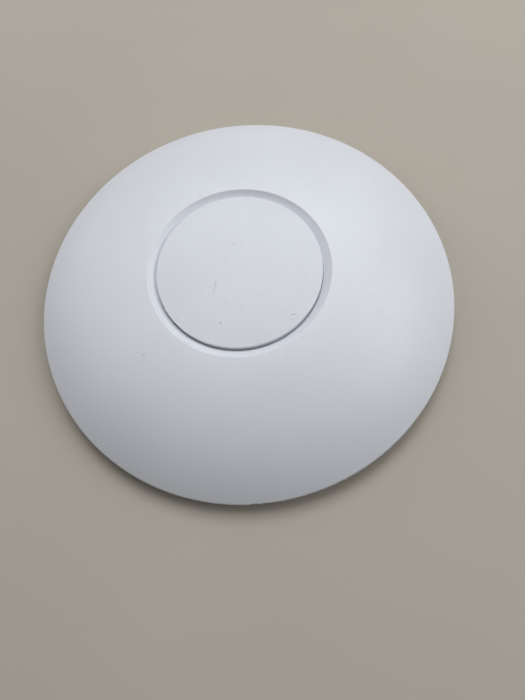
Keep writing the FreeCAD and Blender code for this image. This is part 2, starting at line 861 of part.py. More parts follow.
def add_latch_pocket(piece, d):
    """Groove in the recess wall for the latch tooth, and the pin hole that reaches it."""
    floor = d.base_height + d.back_wall / 2
    piece.pad_across("ReleaseRib", [
        Corner(d.recess_radius + d.recess_wall / 2, floor),
        Corner(d.flank_start, floor),
        Corner(d.flank_start + 4 * d.back_wall, d.release_rib_top),
        Corner(d.recess_radius + d.recess_wall / 2, d.release_rib_top),
    ], d.release_rib_half_width, "XZ_Plane")
    margin = d.latch_window_angle - d.latch_tip_angle
    start = d.latch_tooth_angle - d.twist_angle - margin
    loop = sector(d.recess_radius - BEYOND, d.latch_pocket_radius, start, d.latch_window_angle)
    piece.cut("LatchPocket", [loop], -BEYOND, d.latch_pocket_top)
    piece.cut_x("ReleaseHole", [Circle(0, d.release_hole_height, d.release_hole_radius)],
                d.recess_radius - BEYOND, d.flank_radius)


def build_rating_label(d):
    """Blank label on the recess floor, seen through the bracket's opening."""
    piece = Piece("rating_label")
    loop = rounded_rectangle(as_size(0), d.label_middle, d.label_width, d.label_depth, d.label_corner)
    piece.pad("Sheet", [loop], d.recess_floor - d.label_thickness, d.recess_floor)
    return piece


def build_cover_screws(d):
    """The four screws that hold the covers together, heads towards the back."""
    piece = Piece("cover_screws")
    spot = polar(d.cover_screw_circle, d.screw_angle)
    head_bottom = d.well_floor - d.cover_screw_head_height
    head = piece.pad("Head", [Circle(*spot, d.cover_screw_head_radius)], head_bottom, d.well_floor)
    piece.around(head, SCREW_COUNT)
    shank = piece.pad("Shank", [Circle(*spot, d.screw_shank_radius)],
                      head_bottom + d.screw_recess_depth, d.cover_screw_tip)
    piece.around(shank, SCREW_COUNT)
    for name, width, depth in cross_recess(d):
        loop = rectangle(*spot, width, depth)
        recess = piece.cut(name, [loop], head_bottom - BEYOND, head_bottom + d.screw_recess_depth)
        piece.around(recess, SCREW_COUNT)
    return piece


def cross_recess(d):
    """The two bars of a cross recess, as name, size in x and size in y."""
    return (
        ("RecessAcross", d.screw_recess_length, d.screw_recess_width),
        ("RecessAlong", d.screw_recess_width, d.screw_recess_length),
    )


def build_cable_door(d):
    """Snap-in door that closes the cable channel and carries the back cover's outer shape."""
    piece = Piece("cable_door")
    arc = flank_arc(d)
    top = parting_height(d) - d.flank_lip
    inside = d.base_height + d.door_wall
    piece.revolve("Shell", [
        Corner(d.door_start, d.base_height),
        Corner(d.flank_start, d.base_height, arc, LEFT),
        Corner(d.flank_radius, top),
        Corner(d.tongue_inner_radius, top),
        Corner(d.tongue_inner_radius, flank_inside_height(d, d.tongue_inner_radius, d.door_wall),
               arc - d.door_wall, RIGHT),
        Corner(d.flank_start, inside),
        Corner(d.door_start, inside),
    ])
    around = d.cover_radius + BEYOND
    keep = span(-d.door_half_width, d.door_half_width, d.door_start - BEYOND, around - BEYOND / 2)
    piece.cut("Sides", [span(-around, around, -around, around), keep], -BEYOND, d.tongue_top)
    first = d.door_start + d.door_grip_pitch
    groove = piece.cut("Grip", [rectangle(as_size(0), first, d.door_half_width, d.door_grip_width)],
                       d.base_height - BEYOND, d.base_height + d.door_grip_depth)
    piece.along(groove, "Y_Axis", d.door_grip_pitch, GRIP_COUNT)
    return piece


# ---- Ceiling bracket ------------------------------------------------------------------------


def build_mounting_bracket(d):
    """Flat round plate with three bayonet hooks, screw holes and an opening for the cable."""
    piece = Piece("mounting_bracket")
    top = d.bracket_thickness
    piece.pad("Plate", [Circle(0, 0, d.bracket_radius)], 0, top)
    rib_outer = d.bracket_opening_radius + 2 * d.bracket_rib_width
    rib = [Circle(0, 0, rib_outer), Circle(0, 0, rib_outer - d.bracket_rib_width)]
    piece.pad("OpeningRib", rib, top - d.bracket_rib_height, top + d.bracket_rib_height)
    edge_rib = [Circle(0, 0, d.bracket_radius), Circle(0, 0, d.bracket_radius - d.bracket_rib_width)]
    piece.pad("EdgeRib", edge_rib, top - d.bracket_rib_height, top + d.bracket_rib_height)
    add_hooks(piece, d)
    through = top + d.bracket_rib_height + BEYOND
    piece.cut("Opening", [Circle(0, 0, d.bracket_opening_radius)], -BEYOND, through)
    half = d.bracket_slot_half_width
    piece.cut("CableWay", [span(-half, half, 0, d.bracket_slot_reach)], -BEYOND, through)
    add_screw_holes(piece, d)
    window = sector(d.latch_window_radius, d.bracket_radius + BEYOND,
                    d.latch_root_angle, d.latch_window_angle)
    piece.cut("LatchWindow", [window], -BEYOND, through)
    return piece


def add_hooks(piece, d):
    """Three hooks: a stem that passes through the back cover's slot and a wider head above it."""
    start = d.hook_angle - d.hook_half_angle
    end = d.hook_angle + d.hook_half_angle
    for name, width, low, high in (
        ("Stem", d.hook_stem_width, d.bracket_thickness / 2, d.hook_head_top),
        ("Head", d.hook_head_width, d.hook_head_bottom, d.hook_head_top),
    ):
        half = width / 2
        loop = sector(d.hook_middle_radius - half, d.hook_middle_radius + half, start, end)
        piece.around(piece.pad("Hook" + name, [loop], low, high), HOOK_COUNT)


def add_screw_holes(piece, d):
    """Four anchor holes on a square, and two pairs of slots for electrical boxes."""
    top = d.bracket_thickness
    through = top + d.bracket_rib_height + BEYOND
    recess = top - d.head_recess_depth
    half = d.anchor_spacing / 2
    hole = piece.cut("AnchorHole", [Circle(half, half, d.anchor_hole_radius)], -BEYOND, through)
    piece.around(hole, SCREW_COUNT)
    head_radius = d.anchor_hole_radius + d.head_recess_margin
    seat = piece.cut("AnchorSeat", [Circle(half, half, head_radius)], recess, through)
    piece.around(seat, SCREW_COUNT)
    for name, spacing in (("Small", d.box_spacing_small), ("Large", d.box_spacing_large)):
        loops = [slot(side * spacing / 2, as_size(0), d.box_slot_length, d.box_slot_half_width)
                 for side in (-1, 1)]
        piece.cut("BoxSlots" + name, loops, -BEYOND, through)
    reach = (d.box_spacing_large + d.box_slot_length) / 2 + d.head_recess_margin
    start = (d.box_spacing_small - d.box_slot_length) / 2 - d.head_recess_margin / 2
    depth = 2 * (d.box_slot_half_width + d.head_recess_margin)
    middle = (start + reach) / 2
    seats = [rounded_rectangle(side * middle, as_size(0), reach - start, depth, d.head_recess_margin)
             for side in (-1, 1)]
    piece.cut("BoxSeats", seats, recess, through)


def build_latch_arm(d):
    """Springy arm along the bracket's edge, whose tooth rests in the back cover's groove."""
    piece = Piece("latch_arm")
    root_angle = d.latch_root_angle + d.latch_root_gap_angle
    arm = sector(d.latch_inner_radius, d.latch_outer_radius, root_angle, d.latch_tip_angle)
    piece.pad("Arm", [arm], d.latch_bottom, d.bracket_thickness)
    overlap = d.latch_outer_radius - BEYOND
    tooth = sector(overlap, d.latch_tooth_radius, d.latch_tooth_angle, d.latch_tip_angle)
    piece.pad("Tooth", [tooth], d.latch_bottom, d.bracket_thickness)
    return piece


# ---- Board, cooling and electronics ---------------------------------------------------------


def build_main_board(d):
    """Round circuit board."""
    piece = Piece("main_board")
    piece.pad("Board", [Circle(0, 0, d.board_radius)], d.board_bottom, board_top(d))
    spot = polar(d.board_screw_circle, d.screw_angle)
    hole = piece.cut("ScrewHole", [Circle(*spot, d.screw_clearance_radius)],
                     d.board_bottom - BEYOND, board_top(d) + BEYOND)
    piece.around(hole, SCREW_COUNT)
    return piece


def build_board_screws(d):
    """The four screws that hold the board and the heat spreader to the back cover."""
    piece = Piece("board_screws")
    spot = polar(d.board_screw_circle, d.screw_angle)
    top = board_top(d)
    head_top = top + d.board_screw_head_height
    piece.around(piece.pad("Head", [Circle(*spot, d.board_screw_head_radius)], top, head_top), SCREW_COUNT)
    shank_top = head_top - d.screw_recess_depth
    piece.around(piece.pad("Shank", [Circle(*spot, d.screw_shank_radius)], d.board_screw_tip, shank_top),
                 SCREW_COUNT)
    for name, width, depth in cross_recess(d):
        loop = rectangle(*spot, width, depth)
        piece.around(piece.cut(name, [loop], shank_top, head_top + BEYOND), SCREW_COUNT)
    return piece


def build_heat_spreader(d):
    """Aluminium plate on the board bosses, with standoffs and a raised seat under the processor."""
    piece = Piece("heat_spreader")
    top = spreader_top(d)
    piece.pad("Plate", [Circle(0, 0, d.spreader_radius)], d.spreader_bottom, top)
    spot = polar(d.board_screw_circle, d.screw_angle)
    ear = piece.pad("Ear", [Circle(*spot, d.spreader_ear_radius)], d.spreader_bottom, top)
    piece.around(ear, SCREW_COUNT)
    standoff = piece.pad("Standoff", [Circle(*spot, d.standoff_radius)], top, d.board_bottom)
    piece.around(standoff, SCREW_COUNT)
    x, y = d.component("processor_shield")[:2]
    piece.pad("Pedestal", [rectangle(x, y, d.pedestal_width, d.pedestal_depth)], top, top + d.pedestal_height)
    half = d.spreader_notch_half_width
    notch = span(-half, half, d.spreader_notch_start, d.spreader_radius + d.spreader_ear_radius)
    piece.cut("PortNotch", [notch], d.spreader_bottom - BEYOND, top + BEYOND)
    hole = piece.cut("ScrewHole", [Circle(*spot, d.screw_clearance_radius)],
                     d.spreader_bottom - BEYOND, d.board_bottom + BEYOND)
    piece.around(hole, SCREW_COUNT)
    return piece


def build_blocks(label, names, d, front):
    """Plain blocks that sit on the board's front face, or hang from its back face."""
    piece = Piece(label)
    for index, name in enumerate(names, start=1):
        x, y, width, depth, height = d.component(name)
        low = board_top(d) if front else d.board_bottom - height
        piece.pad("Block%d" % index, [rectangle(x, y, width, depth)], low, low + height)
    return piece


def build_can(label, d, front):
    """Thin metal lid over part of the board, open towards the board."""
    piece = Piece(label)
    x, y, width, depth, height = d.component(label)
    low = board_top(d) if front else d.board_bottom - height
    piece.pad("Lid", [rectangle(x, y, width, depth)], low, low + height)
    inner = rectangle(x, y, width - 2 * d.can_wall, depth - 2 * d.can_wall)
    if front:
        piece.cut("Inside", [inner], low - BEYOND, low + height - d.can_wall)
    else:
        piece.cut("Inside", [inner], low + d.can_wall, low + height + BEYOND)
    return piece


def build_thermal_pads(d):
    """Soft pads: one from the processor to its shield, one from the shield to the spreader."""
    piece = Piece("thermal_pads")
    x, y, width, depth, height = d.component("main_processor")
    chip_bottom = d.board_bottom - height
    piece.pad("InnerPad", [rectangle(x, y, width, depth)], chip_bottom - d.inner_pad_thickness, chip_bottom)
    x, y, _, _, height = d.component("processor_shield")
    shield_bottom = d.board_bottom - height
    piece.pad("OuterPad", [rectangle(x, y, d.pedestal_width, d.pedestal_depth)],
              spreader_top(d) + d.pedestal_height, shield_bottom)
    return piece


def build_power_capacitors(d):
    """Two small can capacitors on square bases."""
    piece = Piece("power_capacitors")
    low = board_top(d)
    for side in ("left", "right"):
        x, y, width, _, height = d.component("capacitor_" + side)
        base = width + 2 * d.capacitor_base_margin
        base_top = low + d.capacitor_base_height
        piece.pad("Base_" + side, [rectangle(x, y, base, base)], low, base_top)
        piece.pad("Can_" + side, [Circle(x, y, width / 2)], base_top, low + height)
    return piece


def build_poe_transformer(d):
    """Transformer: a winding between the two halves of a flat ferrite core."""
    piece = Piece("poe_transformer")
    x, y, width, depth, height = d.component("poe_transformer")
    low = board_top(d)
    piece.pad("Winding", [rectangle(x, y, width - 2 * d.transformer_inset, depth)], low, low + height)
    half = (width - d.transformer_core) / 2
    cores = [rectangle(x + side * half, y, d.transformer_core, depth - 2 * d.transformer_inset)
             for side in (-1, 1)]
    piece.pad("Core", cores, low, low + height - d.transformer_inset)
    return piece


def build_status_leds(d):
    """Four lamps on the board, one under each leg of the light ring."""
    piece = Piece("status_leds")
    lamp = piece.pad("Lamp", [rectangle(d.leg_circle, as_size(0), d.lamp_side, d.lamp_side)],
                     board_top(d), board_top(d) + d.lamp_height)
    piece.around(lamp, SCREW_COUNT)
    return piece


def build_antenna(label, kind, angle, d):
    """Stamped antenna: a raised metal plate with two legs on the board, placed by its angle."""
    piece = Piece(label)
    x, y, width, depth, height = d.component(kind)
    top = board_top(d) + height
    sheet_bottom = top - d.antenna_sheet
    inner_edge = x - width / 2
    end = y - depth / 2
    piece.pad("Plate", [rectangle(x, y, width, depth)], sheet_bottom, top)
    slit_start = inner_edge + width / 3
    slit = span(slit_start, slit_start + d.antenna_slot_width, end + width / 4, y + depth / 4)
    piece.cut("Slit", [slit], sheet_bottom - BEYOND, top + BEYOND)
    legs = [span(inner_edge, inner_edge + d.antenna_sheet, end + gap, end + gap + d.antenna_leg_width)
            for gap in (as_size(0), width / 2)]
    piece.pad("Legs", legs, board_top(d), top - d.antenna_sheet / 2)
    piece.turn_about_axis(angle)
    return piece


def build_jack(side, d):
    """An ethernet jack below the board: metal shell, moulded insert and eight contacts."""
    x = getattr(d, "jack_%s_x" % side)
    face = d.bay_near - d.bay_wall
    back = face - d.jack_length
    bottom = d.board_bottom - d.jack_height
    half = d.jack_width / 2
    wall = d.jack_shell_wall

    shell = Piece("ethernet_jack_" + side)
    shell.pad("Shell", [span(x - half, x + half, back, face)], bottom, d.board_bottom)
    hollow = span(x - half + wall, x + half - wall, back + wall, face + BEYOND)
    shell.cut("Hollow", [hollow], bottom + wall, d.board_bottom - wall)

    insert = Piece("jack_insert_" + side)
    inset = wall + d.jack_fit_gap
    block = span(x - half + inset, x + half - inset, back + inset, face)
    insert.pad("Block", [block], bottom + inset, d.board_bottom - inset)
    socket = span(x - d.socket_half_width, x + d.socket_half_width, face - d.socket_depth, face + BEYOND)
    insert.cut("Socket", [socket], d.socket_bottom, d.socket_top)
    tab = span(x - d.tab_half_width, x + d.tab_half_width, face - d.tab_depth, face + BEYOND)
    insert.cut("TabWay", [tab], d.tab_bottom, d.socket_bottom + BEYOND)

    contacts = Piece("jack_contacts_" + side)
    front = face - d.contact_front_inset
    rear = face - d.contact_back_inset
    low = d.socket_top - d.contact_drop
    half_contact = d.contact_width / 2
    first = x - d.contact_pitch * (CONTACT_COUNT - 1) / 2
    wire = [
        Corner(front, d.socket_top),
        Corner(front - 4 * d.contact_thickness, d.socket_top),
        Corner(rear, low + d.contact_thickness),
        Corner(rear, low),
    ]
    sketch = contacts.sketch("Wire", "YZ_Plane", [wire], first - half_contact)
    bar = contacts.feature("Pad", "Wire", sketch)
    bar.setExpression("Length", d.contact_width.text)
    contacts.along(bar, "X_Axis", d.contact_pitch, CONTACT_COUNT)
    return [shell, insert, contacts]


def build_reset_switch(d):
    """Small push switch that hangs from the board behind the reset button."""
    piece = Piece("reset_switch")
    half = d.reset_switch_width / 2
    rear = d.reset_switch_face - d.reset_switch_depth
    body = span(d.reset_x - half, d.reset_x + half, rear, d.reset_switch_face)
    piece.pad("Body", [body], d.board_bottom - d.reset_switch_drop, d.board_bottom)
    return piece


def build_reset_button(d):
    """Recessed pin-press button with a flange behind the bay's end wall."""
    piece = Piece("reset_button")
    flange_front = d.reset_button_back + d.reset_flange_width
    piece.pad_y("Flange", [Circle(d.reset_x, d.reset_height, d.reset_flange_radius)],
                d.reset_button_back, flange_front)
    piece.pad_y("Stem", [Circle(d.reset_x, d.reset_height, d.reset_button_radius)],
                flange_front, d.reset_button_front)
    return piece


# ---- Assembly -------------------------------------------------------------------------------


def build_everything(d):
    """Build every sub-part and give back the list of pieces."""
    pieces = [
        build_front_cover(d),
        build_centre_disc(d),
        build_light_ring(d),
        build_back_cover(d),
        build_rating_label(d),
        build_cover_screws(d),
        build_cable_door(d),
        build_mounting_bracket(d),
        build_latch_arm(d),
        build_main_board(d),
        build_board_screws(d),
        build_heat_spreader(d),
        build_thermal_pads(d),
        build_blocks("main_processor", ["main_processor"], d, front=False),
        build_blocks("memory_chips", ["memory_front", "memory_back"], d, front=False),
        build_blocks("flash_chip", ["flash_chip"], d, front=False),
        build_can("processor_shield", d, front=False),
        build_blocks("radio_chip_24", ["radio_chip_24"], d, front=True),
        build_blocks("radio_chip_5", ["radio_chip_5"], d, front=True),
        build_can("radio_shield_24", d, front=True),
        build_can("radio_shield_5", d, front=True),
        build_blocks("power_inductors", ["inductor_left", "inductor_right"], d, front=True),
        build_blocks("ethernet_transformers", ["magnetics_main", "magnetics_aux"], d, front=True),
        build_blocks("crystal_oscillators", ["crystal_radio", "crystal_processor"], d, front=True),
        build_power_capacitors(d),
        build_poe_transformer(d),
        build_status_leds(d),
        build_reset_switch(d),
        build_reset_button(d),
    ]
    for label in ANTENNAS_24:
        pieces.append(build_antenna(label, "antenna_24", getattr(d, label + "_angle"), d))
    for label in ANTENNAS_5:
        pieces.append(build_antenna(label, "antenna_5", getattr(d, label + "_angle"), d))
    for side in ("main", "aux"):
        pieces.extend(build_jack(side, d))
    return pieces


def sheet_values():
    """Every driving dimension by its alias."""
    values = dict(DIMENSIONS)
    for name, sizes in COMPONENTS.items():
        for field, size in zip(COMPONENT_FIELDS, sizes):
            values["%s_%s" % (name, field)] = size
    for label, angle in {**ANTENNAS_24, **ANTENNAS_5}.items():
        values[label + "_angle"] = angle
    return values


def check_document(pieces):
    """Stop on any failed object or broken shape before anything is written."""
    failed = [item.Name for item in DOCUMENT.Objects if "Invalid" in item.State or "Error" in item.State]
    for piece in pieces:
        shape = piece.body.Shape
        if shape.isNull() or not shape.isValid() or not shape.Solids:
            failed.append(piece.body.Label)
    if failed:
        raise RuntimeError("failed: " + ", ".join(failed))


def write_parts(pieces):
    """Write one file for each sub-part, named by its label."""
    os.makedirs("parts", exist_ok=True)
    for piece in pieces:
        shape = piece.body.Shape
        shape.exportStep(os.path.join("parts", piece.body.Label + ".step"))
        print("%-24s %2d solids %10.1f mm3" % (piece.body.Label, len(shape.Solids), shape.Volume))


def main():
    dimensions = Dimensions(sheet_values())
    DOCUMENT.recompute()
    pieces = build_everything(dimensions)
    DOCUMENT.recompute()
    check_document(pieces)
    write_parts(pieces)


main()
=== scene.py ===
"""Looks of a round ceiling access point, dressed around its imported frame.

Everything is in metres in the frame's own axes: +Z out of the domed front, z = 0 at the back face
of the ceiling bracket, the origin on the dome's axis. Sizes below are written in millimetres, as a
maker states them, and turned to metres by mm(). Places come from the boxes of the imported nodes.
"""

import logging
import math
import random
from dataclasses import dataclass
from enum import Enum
from typing import Sequence, Union

import bmesh
import bpy
from mathutils import Matrix, Vector


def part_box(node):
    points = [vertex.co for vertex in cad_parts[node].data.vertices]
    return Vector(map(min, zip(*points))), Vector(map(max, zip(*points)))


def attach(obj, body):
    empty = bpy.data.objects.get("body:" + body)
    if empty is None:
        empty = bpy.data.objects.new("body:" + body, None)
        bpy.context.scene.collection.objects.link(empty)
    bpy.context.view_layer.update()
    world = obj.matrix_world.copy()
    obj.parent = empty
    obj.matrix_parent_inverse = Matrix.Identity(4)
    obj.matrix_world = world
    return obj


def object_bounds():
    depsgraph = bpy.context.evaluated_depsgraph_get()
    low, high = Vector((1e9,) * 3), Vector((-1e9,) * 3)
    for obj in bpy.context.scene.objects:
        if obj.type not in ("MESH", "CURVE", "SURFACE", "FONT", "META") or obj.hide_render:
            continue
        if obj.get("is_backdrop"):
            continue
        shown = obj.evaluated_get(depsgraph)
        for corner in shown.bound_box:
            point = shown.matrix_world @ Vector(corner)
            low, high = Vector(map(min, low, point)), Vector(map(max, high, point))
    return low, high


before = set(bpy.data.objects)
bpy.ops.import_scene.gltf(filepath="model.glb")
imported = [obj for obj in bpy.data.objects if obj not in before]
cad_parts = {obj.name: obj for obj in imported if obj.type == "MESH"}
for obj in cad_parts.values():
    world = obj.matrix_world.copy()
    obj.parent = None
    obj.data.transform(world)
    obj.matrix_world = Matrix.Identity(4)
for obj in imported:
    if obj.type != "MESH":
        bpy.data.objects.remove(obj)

LOG = logging.getLogger("access_point")
SEED = 11
MM_PER_METRE = 1000.0

# Noise keeps near 0.5: nearly all of it lies between these
NOISE_LOW = 0.3
NOISE_HIGH = 0.7
# Width of one wave of the wave pattern at scale 1
WAVE_WIDTH = 2.0 * math.pi / 20.0
# How many times finer roughness strays than tone does
GLOSS_FINER = 3.0
# Edges that turn more than this stay sharp, in degrees
SHARP_TURN = 35.0

Socket = bpy.types.NodeSocket
Tree = bpy.types.NodeTree
Setting = Union[Socket, float, tuple]
Inputs = dict[Union[str, int], Setting]
Point = tuple[float, float]
Place = tuple[float, float, float]


class Body(Enum):
    """Bodies of the frame that a piece can ride on."""

    HOUSING = "housing"
    BRACKET = "bracket"


class Slot(Enum):
    """Material slots of the record."""

    BACK = "back_plastic"
    BRACKET = "bracket_plastic"
    CHIP = "chip_resin"
    CORE = "ferrite"
    JACK = "jack_plastic"
    SCREW = "screw_steel"
    TIN = "tinned_steel"


# ---- Units, colours and nodes ---------------------------------------------------------------


def mm(value: float) -> float:
    """Millimetres as metres."""
    return value / MM_PER_METRE


def to_mm(value: float) -> float:
    """Metres as millimetres."""
    return value * MM_PER_METRE


def linear(code: str) -> tuple[float, float, float, float]:
    """Turn an sRGB hex colour to linear.

    Args:
        code: Six hex digits with a leading hash.

    Returns:
        Linear red, green and blue, with full opacity.
    """
    parts = [int(code[place:place + 2], 16) / 255.0 for place in (1, 3, 5)]
    red, green, blue = (p / 12.92 if p <= 0.04045 else ((p + 0.055) / 1.055) ** 2.4 for p in parts)
    return red, green, blue, 1.0


def add_node(tree: Tree, kind: str, inputs: Inputs, **settings: object) -> bpy.types.Node:
    """Add a node with its settings and links.

    Args:
        tree: The node tree of a material.
        kind: The node's type without its ShaderNode prefix.
        inputs: Values or output sockets by input name or number.
        **settings: Attributes of the node.

    Returns:
        The new node.
    """
    node = tree.nodes.new("ShaderNode" + kind)
    for name, value in settings.items():
        setattr(node, name, value)
    for key, value in inputs.items():
        if isinstance(value, bpy.types.NodeSocket):
            tree.links.new(value, node.inputs[key])
        else:
            node.inputs[key].default_value = value
    return node


# ---- Finishes -------------------------------------------------------------------------------


@dataclass(frozen=True)
class Finish:
    """A finish that makes its own material.

    Attributes:
        name: Name of the material.
        colour: sRGB hex colour of the bare surface.
        roughness: Microfacet roughness.
        metallic: 1 for bare metal.
        ior: Refractive index of what is not metal.
        grain_mm: Spacing of the fine surface pattern.
        relief_mm: Height of that pattern.
        blotch_mm: Size of the slow change of tone.
        blotch: Share of brightness that the slow change takes away.
        wander: How far roughness strays from place to place.
        stretch: How much longer than wide the pattern is along X.
        clarity: Share of light that passes into the material.
    """

    name: str
    colour: str
    roughness: float
    metallic: float = 0.0
    ior: float = 1.5
    grain_mm: float = 0.8
    relief_mm: float = 0.01
    blotch_mm: float = 25.0
    blotch: float = 0.04
    wander: float = 0.05
    stretch: float = 1.0
    clarity: float = 0.0

    def material(self) -> bpy.types.Material:
        """Make the material, or give back the one made before.

        Returns:
            The material with its node tree.
        """
        found = bpy.data.materials.get(self.name)
        if found is not None:
            return found
        material = bpy.data.materials.new(self.name)
        material.use_nodes = True
        tree = material.node_tree
        tree.nodes.clear()
        place = add_node(tree, "TexCoord", {}).outputs["Object"]
        scale = (1.0 / self.stretch, 1.0, 1.0)
        along = add_node(tree, "Mapping", {"Vector": place, "Scale": scale}).outputs[0]
        shader = add_node(tree, "BsdfPrincipled", {
            "Base Color": self.tone(tree, place, along),
            "Roughness": self.gloss(tree, along),
            "Metallic": self.metallic,
            "IOR": self.ior,
            "Transmission Weight": self.clarity,
            "Normal": self.relief(tree, place, along),
        })
        add_node(tree, "OutputMaterial", {"Surface": shader.outputs[0]})
        return material

    def drift(self, tree: Tree, along: Socket, size_mm: float, detail: float, ends: Point) -> Socket:
        """Value that drifts from place to place.

        Args:
            tree: The material's tree.
            along: Object coordinates in metres, stretched along the grain.
            size_mm: Size of a patch.
            detail: Octaves of finer change.
            ends: The values that it drifts between.

        Returns:
            The value.
        """
        patches = {"Vector": along, "Scale": 1.0 / mm(size_mm), "Detail": detail}
        wave = add_node(tree, "TexNoise", patches).outputs[0]
        spread = {0: wave, 1: NOISE_LOW, 2: NOISE_HIGH, 3: ends[0], 4: ends[1]}
        return add_node(tree, "MapRange", spread).outputs[0]

    def tone(self, tree: Tree, place: Socket, along: Socket) -> Socket:
        """Base colour with its slow change of brightness.

        Args:
            tree: The material's tree.
            place: Object coordinates in metres.
            along: The same, stretched along the grain.

        Returns:
            The colour.
        """
        base = linear(self.colour)
        dark = tuple(part * (1.0 - self.blotch) for part in base[:3]) + (1.0,)
        share = self.drift(tree, along, self.blotch_mm, detail=3.0, ends=(0.0, 1.0))
        return add_node(tree, "Mix", {0: share, 6: base, 7: dark}, data_type="RGBA").outputs[2]

    def gloss(self, tree: Tree, along: Socket) -> Socket:
        """Roughness that strays a little, as handling and tooling leave it.

        Args:
            tree: The material's tree.
            along: Object coordinates in metres, stretched along the grain.

        Returns:
            The roughness.
        """
        ends = (self.roughness - self.wander, self.roughness + self.wander)
        return self.drift(tree, along, self.blotch_mm / GLOSS_FINER, detail=5.0, ends=ends)

    def relief(self, tree: Tree, place: Socket, along: Socket) -> Socket:
        """Normal of the fine surface pattern.

        Args:
            tree: The material's tree.
            place: Object coordinates in metres.
            along: The same, stretched along the grain.

        Returns:
            The normal.
        """
        height = self.height(tree, place, along)
        return add_node(tree, "Bump", {"Height": height, "Distance": mm(self.relief_mm)}).outputs[0]

    def height(self, tree: Tree, place: Socket, along: Socket) -> Socket:
        """Height of the fine surface pattern, from 0 to 1."""
        grain = {"Vector": along, "Scale": 1.0 / mm(self.grain_mm), "Detail": 2.0}
        return add_node(tree, "TexNoise", grain).outputs[0]


@dataclass(frozen=True)
class Mark:
    """A short straight scuff on a face seen from the front.

    Attributes:
        x_mm: Centre of the scuff.
        y_mm: Centre of the scuff.
        turn: Its direction in degrees from +X.
        length_mm: Its length.
        width_mm: Its width.
        depth: Share of soil colour at its middle.
    """

    x_mm: float
    y_mm: float
    turn: float
    length_mm: float
    width_mm: float
    depth: float


@dataclass(frozen=True)
class SatinPolycarbonate(Finish):
    """White polycarbonate, injection moulded against a finely blasted steel tool.

    The eye sees an even satin white with a soft broad highlight and no mirror image. Close to, it
    has a faint orange-peel grain and the few dark specks and scuffs that handling leaves. The
    blasted grain is about 0.1 mm and would not show, so it is drawn at 0.9 mm.

    Attributes:
        speck_mm: Diameter of a speck of dust.
        speck_spacing_mm: Cells that hold at most one speck each.
        speck_share: Share of cells that hold one.
        speck_depth: Share of soil colour in a speck.
        speck_fade: How many times wider a speck is than its dark core.
        scuff_core: Share of a scuff's reach that is at full depth.
        soil: sRGB hex colour of specks and scuffs.
        marks: The scuffs.
    """

    speck_mm: float = 0.9
    speck_spacing_mm: float = 9.0
    speck_share: float = 0.3
    speck_depth: float = 0.22
    speck_fade: float = 3.0
    scuff_core: float = 0.2
    soil: str = "#7D8087"
    marks: tuple[Mark, ...] = ()

    def tone(self, tree: Tree, place: Socket, along: Socket) -> Socket:
        """Base colour with its specks and scuffs.

        Args:
            tree: The material's tree.
            place: Object coordinates in metres.
            along: The same, stretched along the grain.

        Returns:
            The colour.
        """
        soiled = self.specks(tree, place)
        for mark in self.marks:
            scuffed = self.scuff(tree, place, mark)
            soiled = add_node(tree, "Math", {0: soiled, 1: scuffed}, operation="MAXIMUM").outputs[0]
        clean = super().tone(tree, place, along)
        return add_node(tree, "Mix", {0: soiled, 6: clean, 7: linear(self.soil)}, data_type="RGBA").outputs[2]

    def specks(self, tree: Tree, place: Socket) -> Socket:
        """Scattered round specks, as a share of soil colour.

        Args:
            tree: The material's tree.
            place: Object coordinates in metres.

        Returns:
            The share.
        """
        spacing = {"Vector": place, "Scale": 1.0 / mm(self.speck_spacing_mm)}
        cells = add_node(tree, "TexVoronoi", spacing, voronoi_dimensions="2D").outputs
        reach = self.speck_mm / self.speck_spacing_mm / 2.0
        fade = {0: cells["Distance"], 1: reach / self.speck_fade, 2: reach, 3: self.speck_depth, 4: 0.0}
        dot = add_node(tree, "MapRange", fade).outputs[0]
        chance = add_node(tree, "SeparateXYZ", {0: cells["Color"]}).outputs[0]
        soiled = add_node(tree, "Math", {0: chance, 1: self.speck_share}, operation="LESS_THAN").outputs[0]
        return add_node(tree, "Math", {0: dot, 1: soiled}, operation="MULTIPLY").outputs[0]

    def scuff(self, tree: Tree, place: Socket, mark: Mark) -> Socket:
        """One scuff that fades to its ends, as a share of soil colour.

        Args:
            tree: The material's tree.
            place: Object coordinates in metres.
            mark: The scuff.

        Returns:
            The share.
        """
        local = add_node(tree, "Mapping", {
            "Vector": place,
            "Location": (mm(mark.x_mm), mm(mark.y_mm), 0.0),
            "Rotation": (0.0, 0.0, math.radians(mark.turn)),
            "Scale": (mm(mark.length_mm) / 2.0, mm(mark.width_mm) / 2.0, 1.0),
        }, vector_type="TEXTURE").outputs[0]
        away = add_node(tree, "VectorMath", {0: local}, operation="LENGTH").outputs["Value"]
        fade = {0: away, 1: self.scuff_core, 2: 1.0, 3: mark.depth, 4: 0.0}
        return add_node(tree, "MapRange", fade).outputs[0]


@dataclass(frozen=True)
class PittedFace(Finish):
    """Face of close small pits, as a spark-eroded tool or a grinding wheel leaves it.

    The eye sees a dull surface with a fine sandy texture that hides flow lines and fingerprints. The
    real pits are about 0.15 mm across and would not show, so grain_mm draws them coarser.
    """

    def height(self, tree: Tree, place: Socket, along: Socket) -> Socket:
        """Pits with sharp rims over a soft swell.

        Args:
            tree: The material's tree.
            place: Object coordinates in metres.
            along: The same, stretched along the grain.

        Returns:
            The height.
        """
        spacing = {"Vector": place, "Scale": 1.0 / mm(self.grain_mm)}
        pits = add_node(tree, "TexVoronoi", spacing).outputs["Distance"]
        swell = super().height(tree, place, along)
        return add_node(tree, "Math", {0: pits, 1: swell}, operation="ADD").outputs[0]


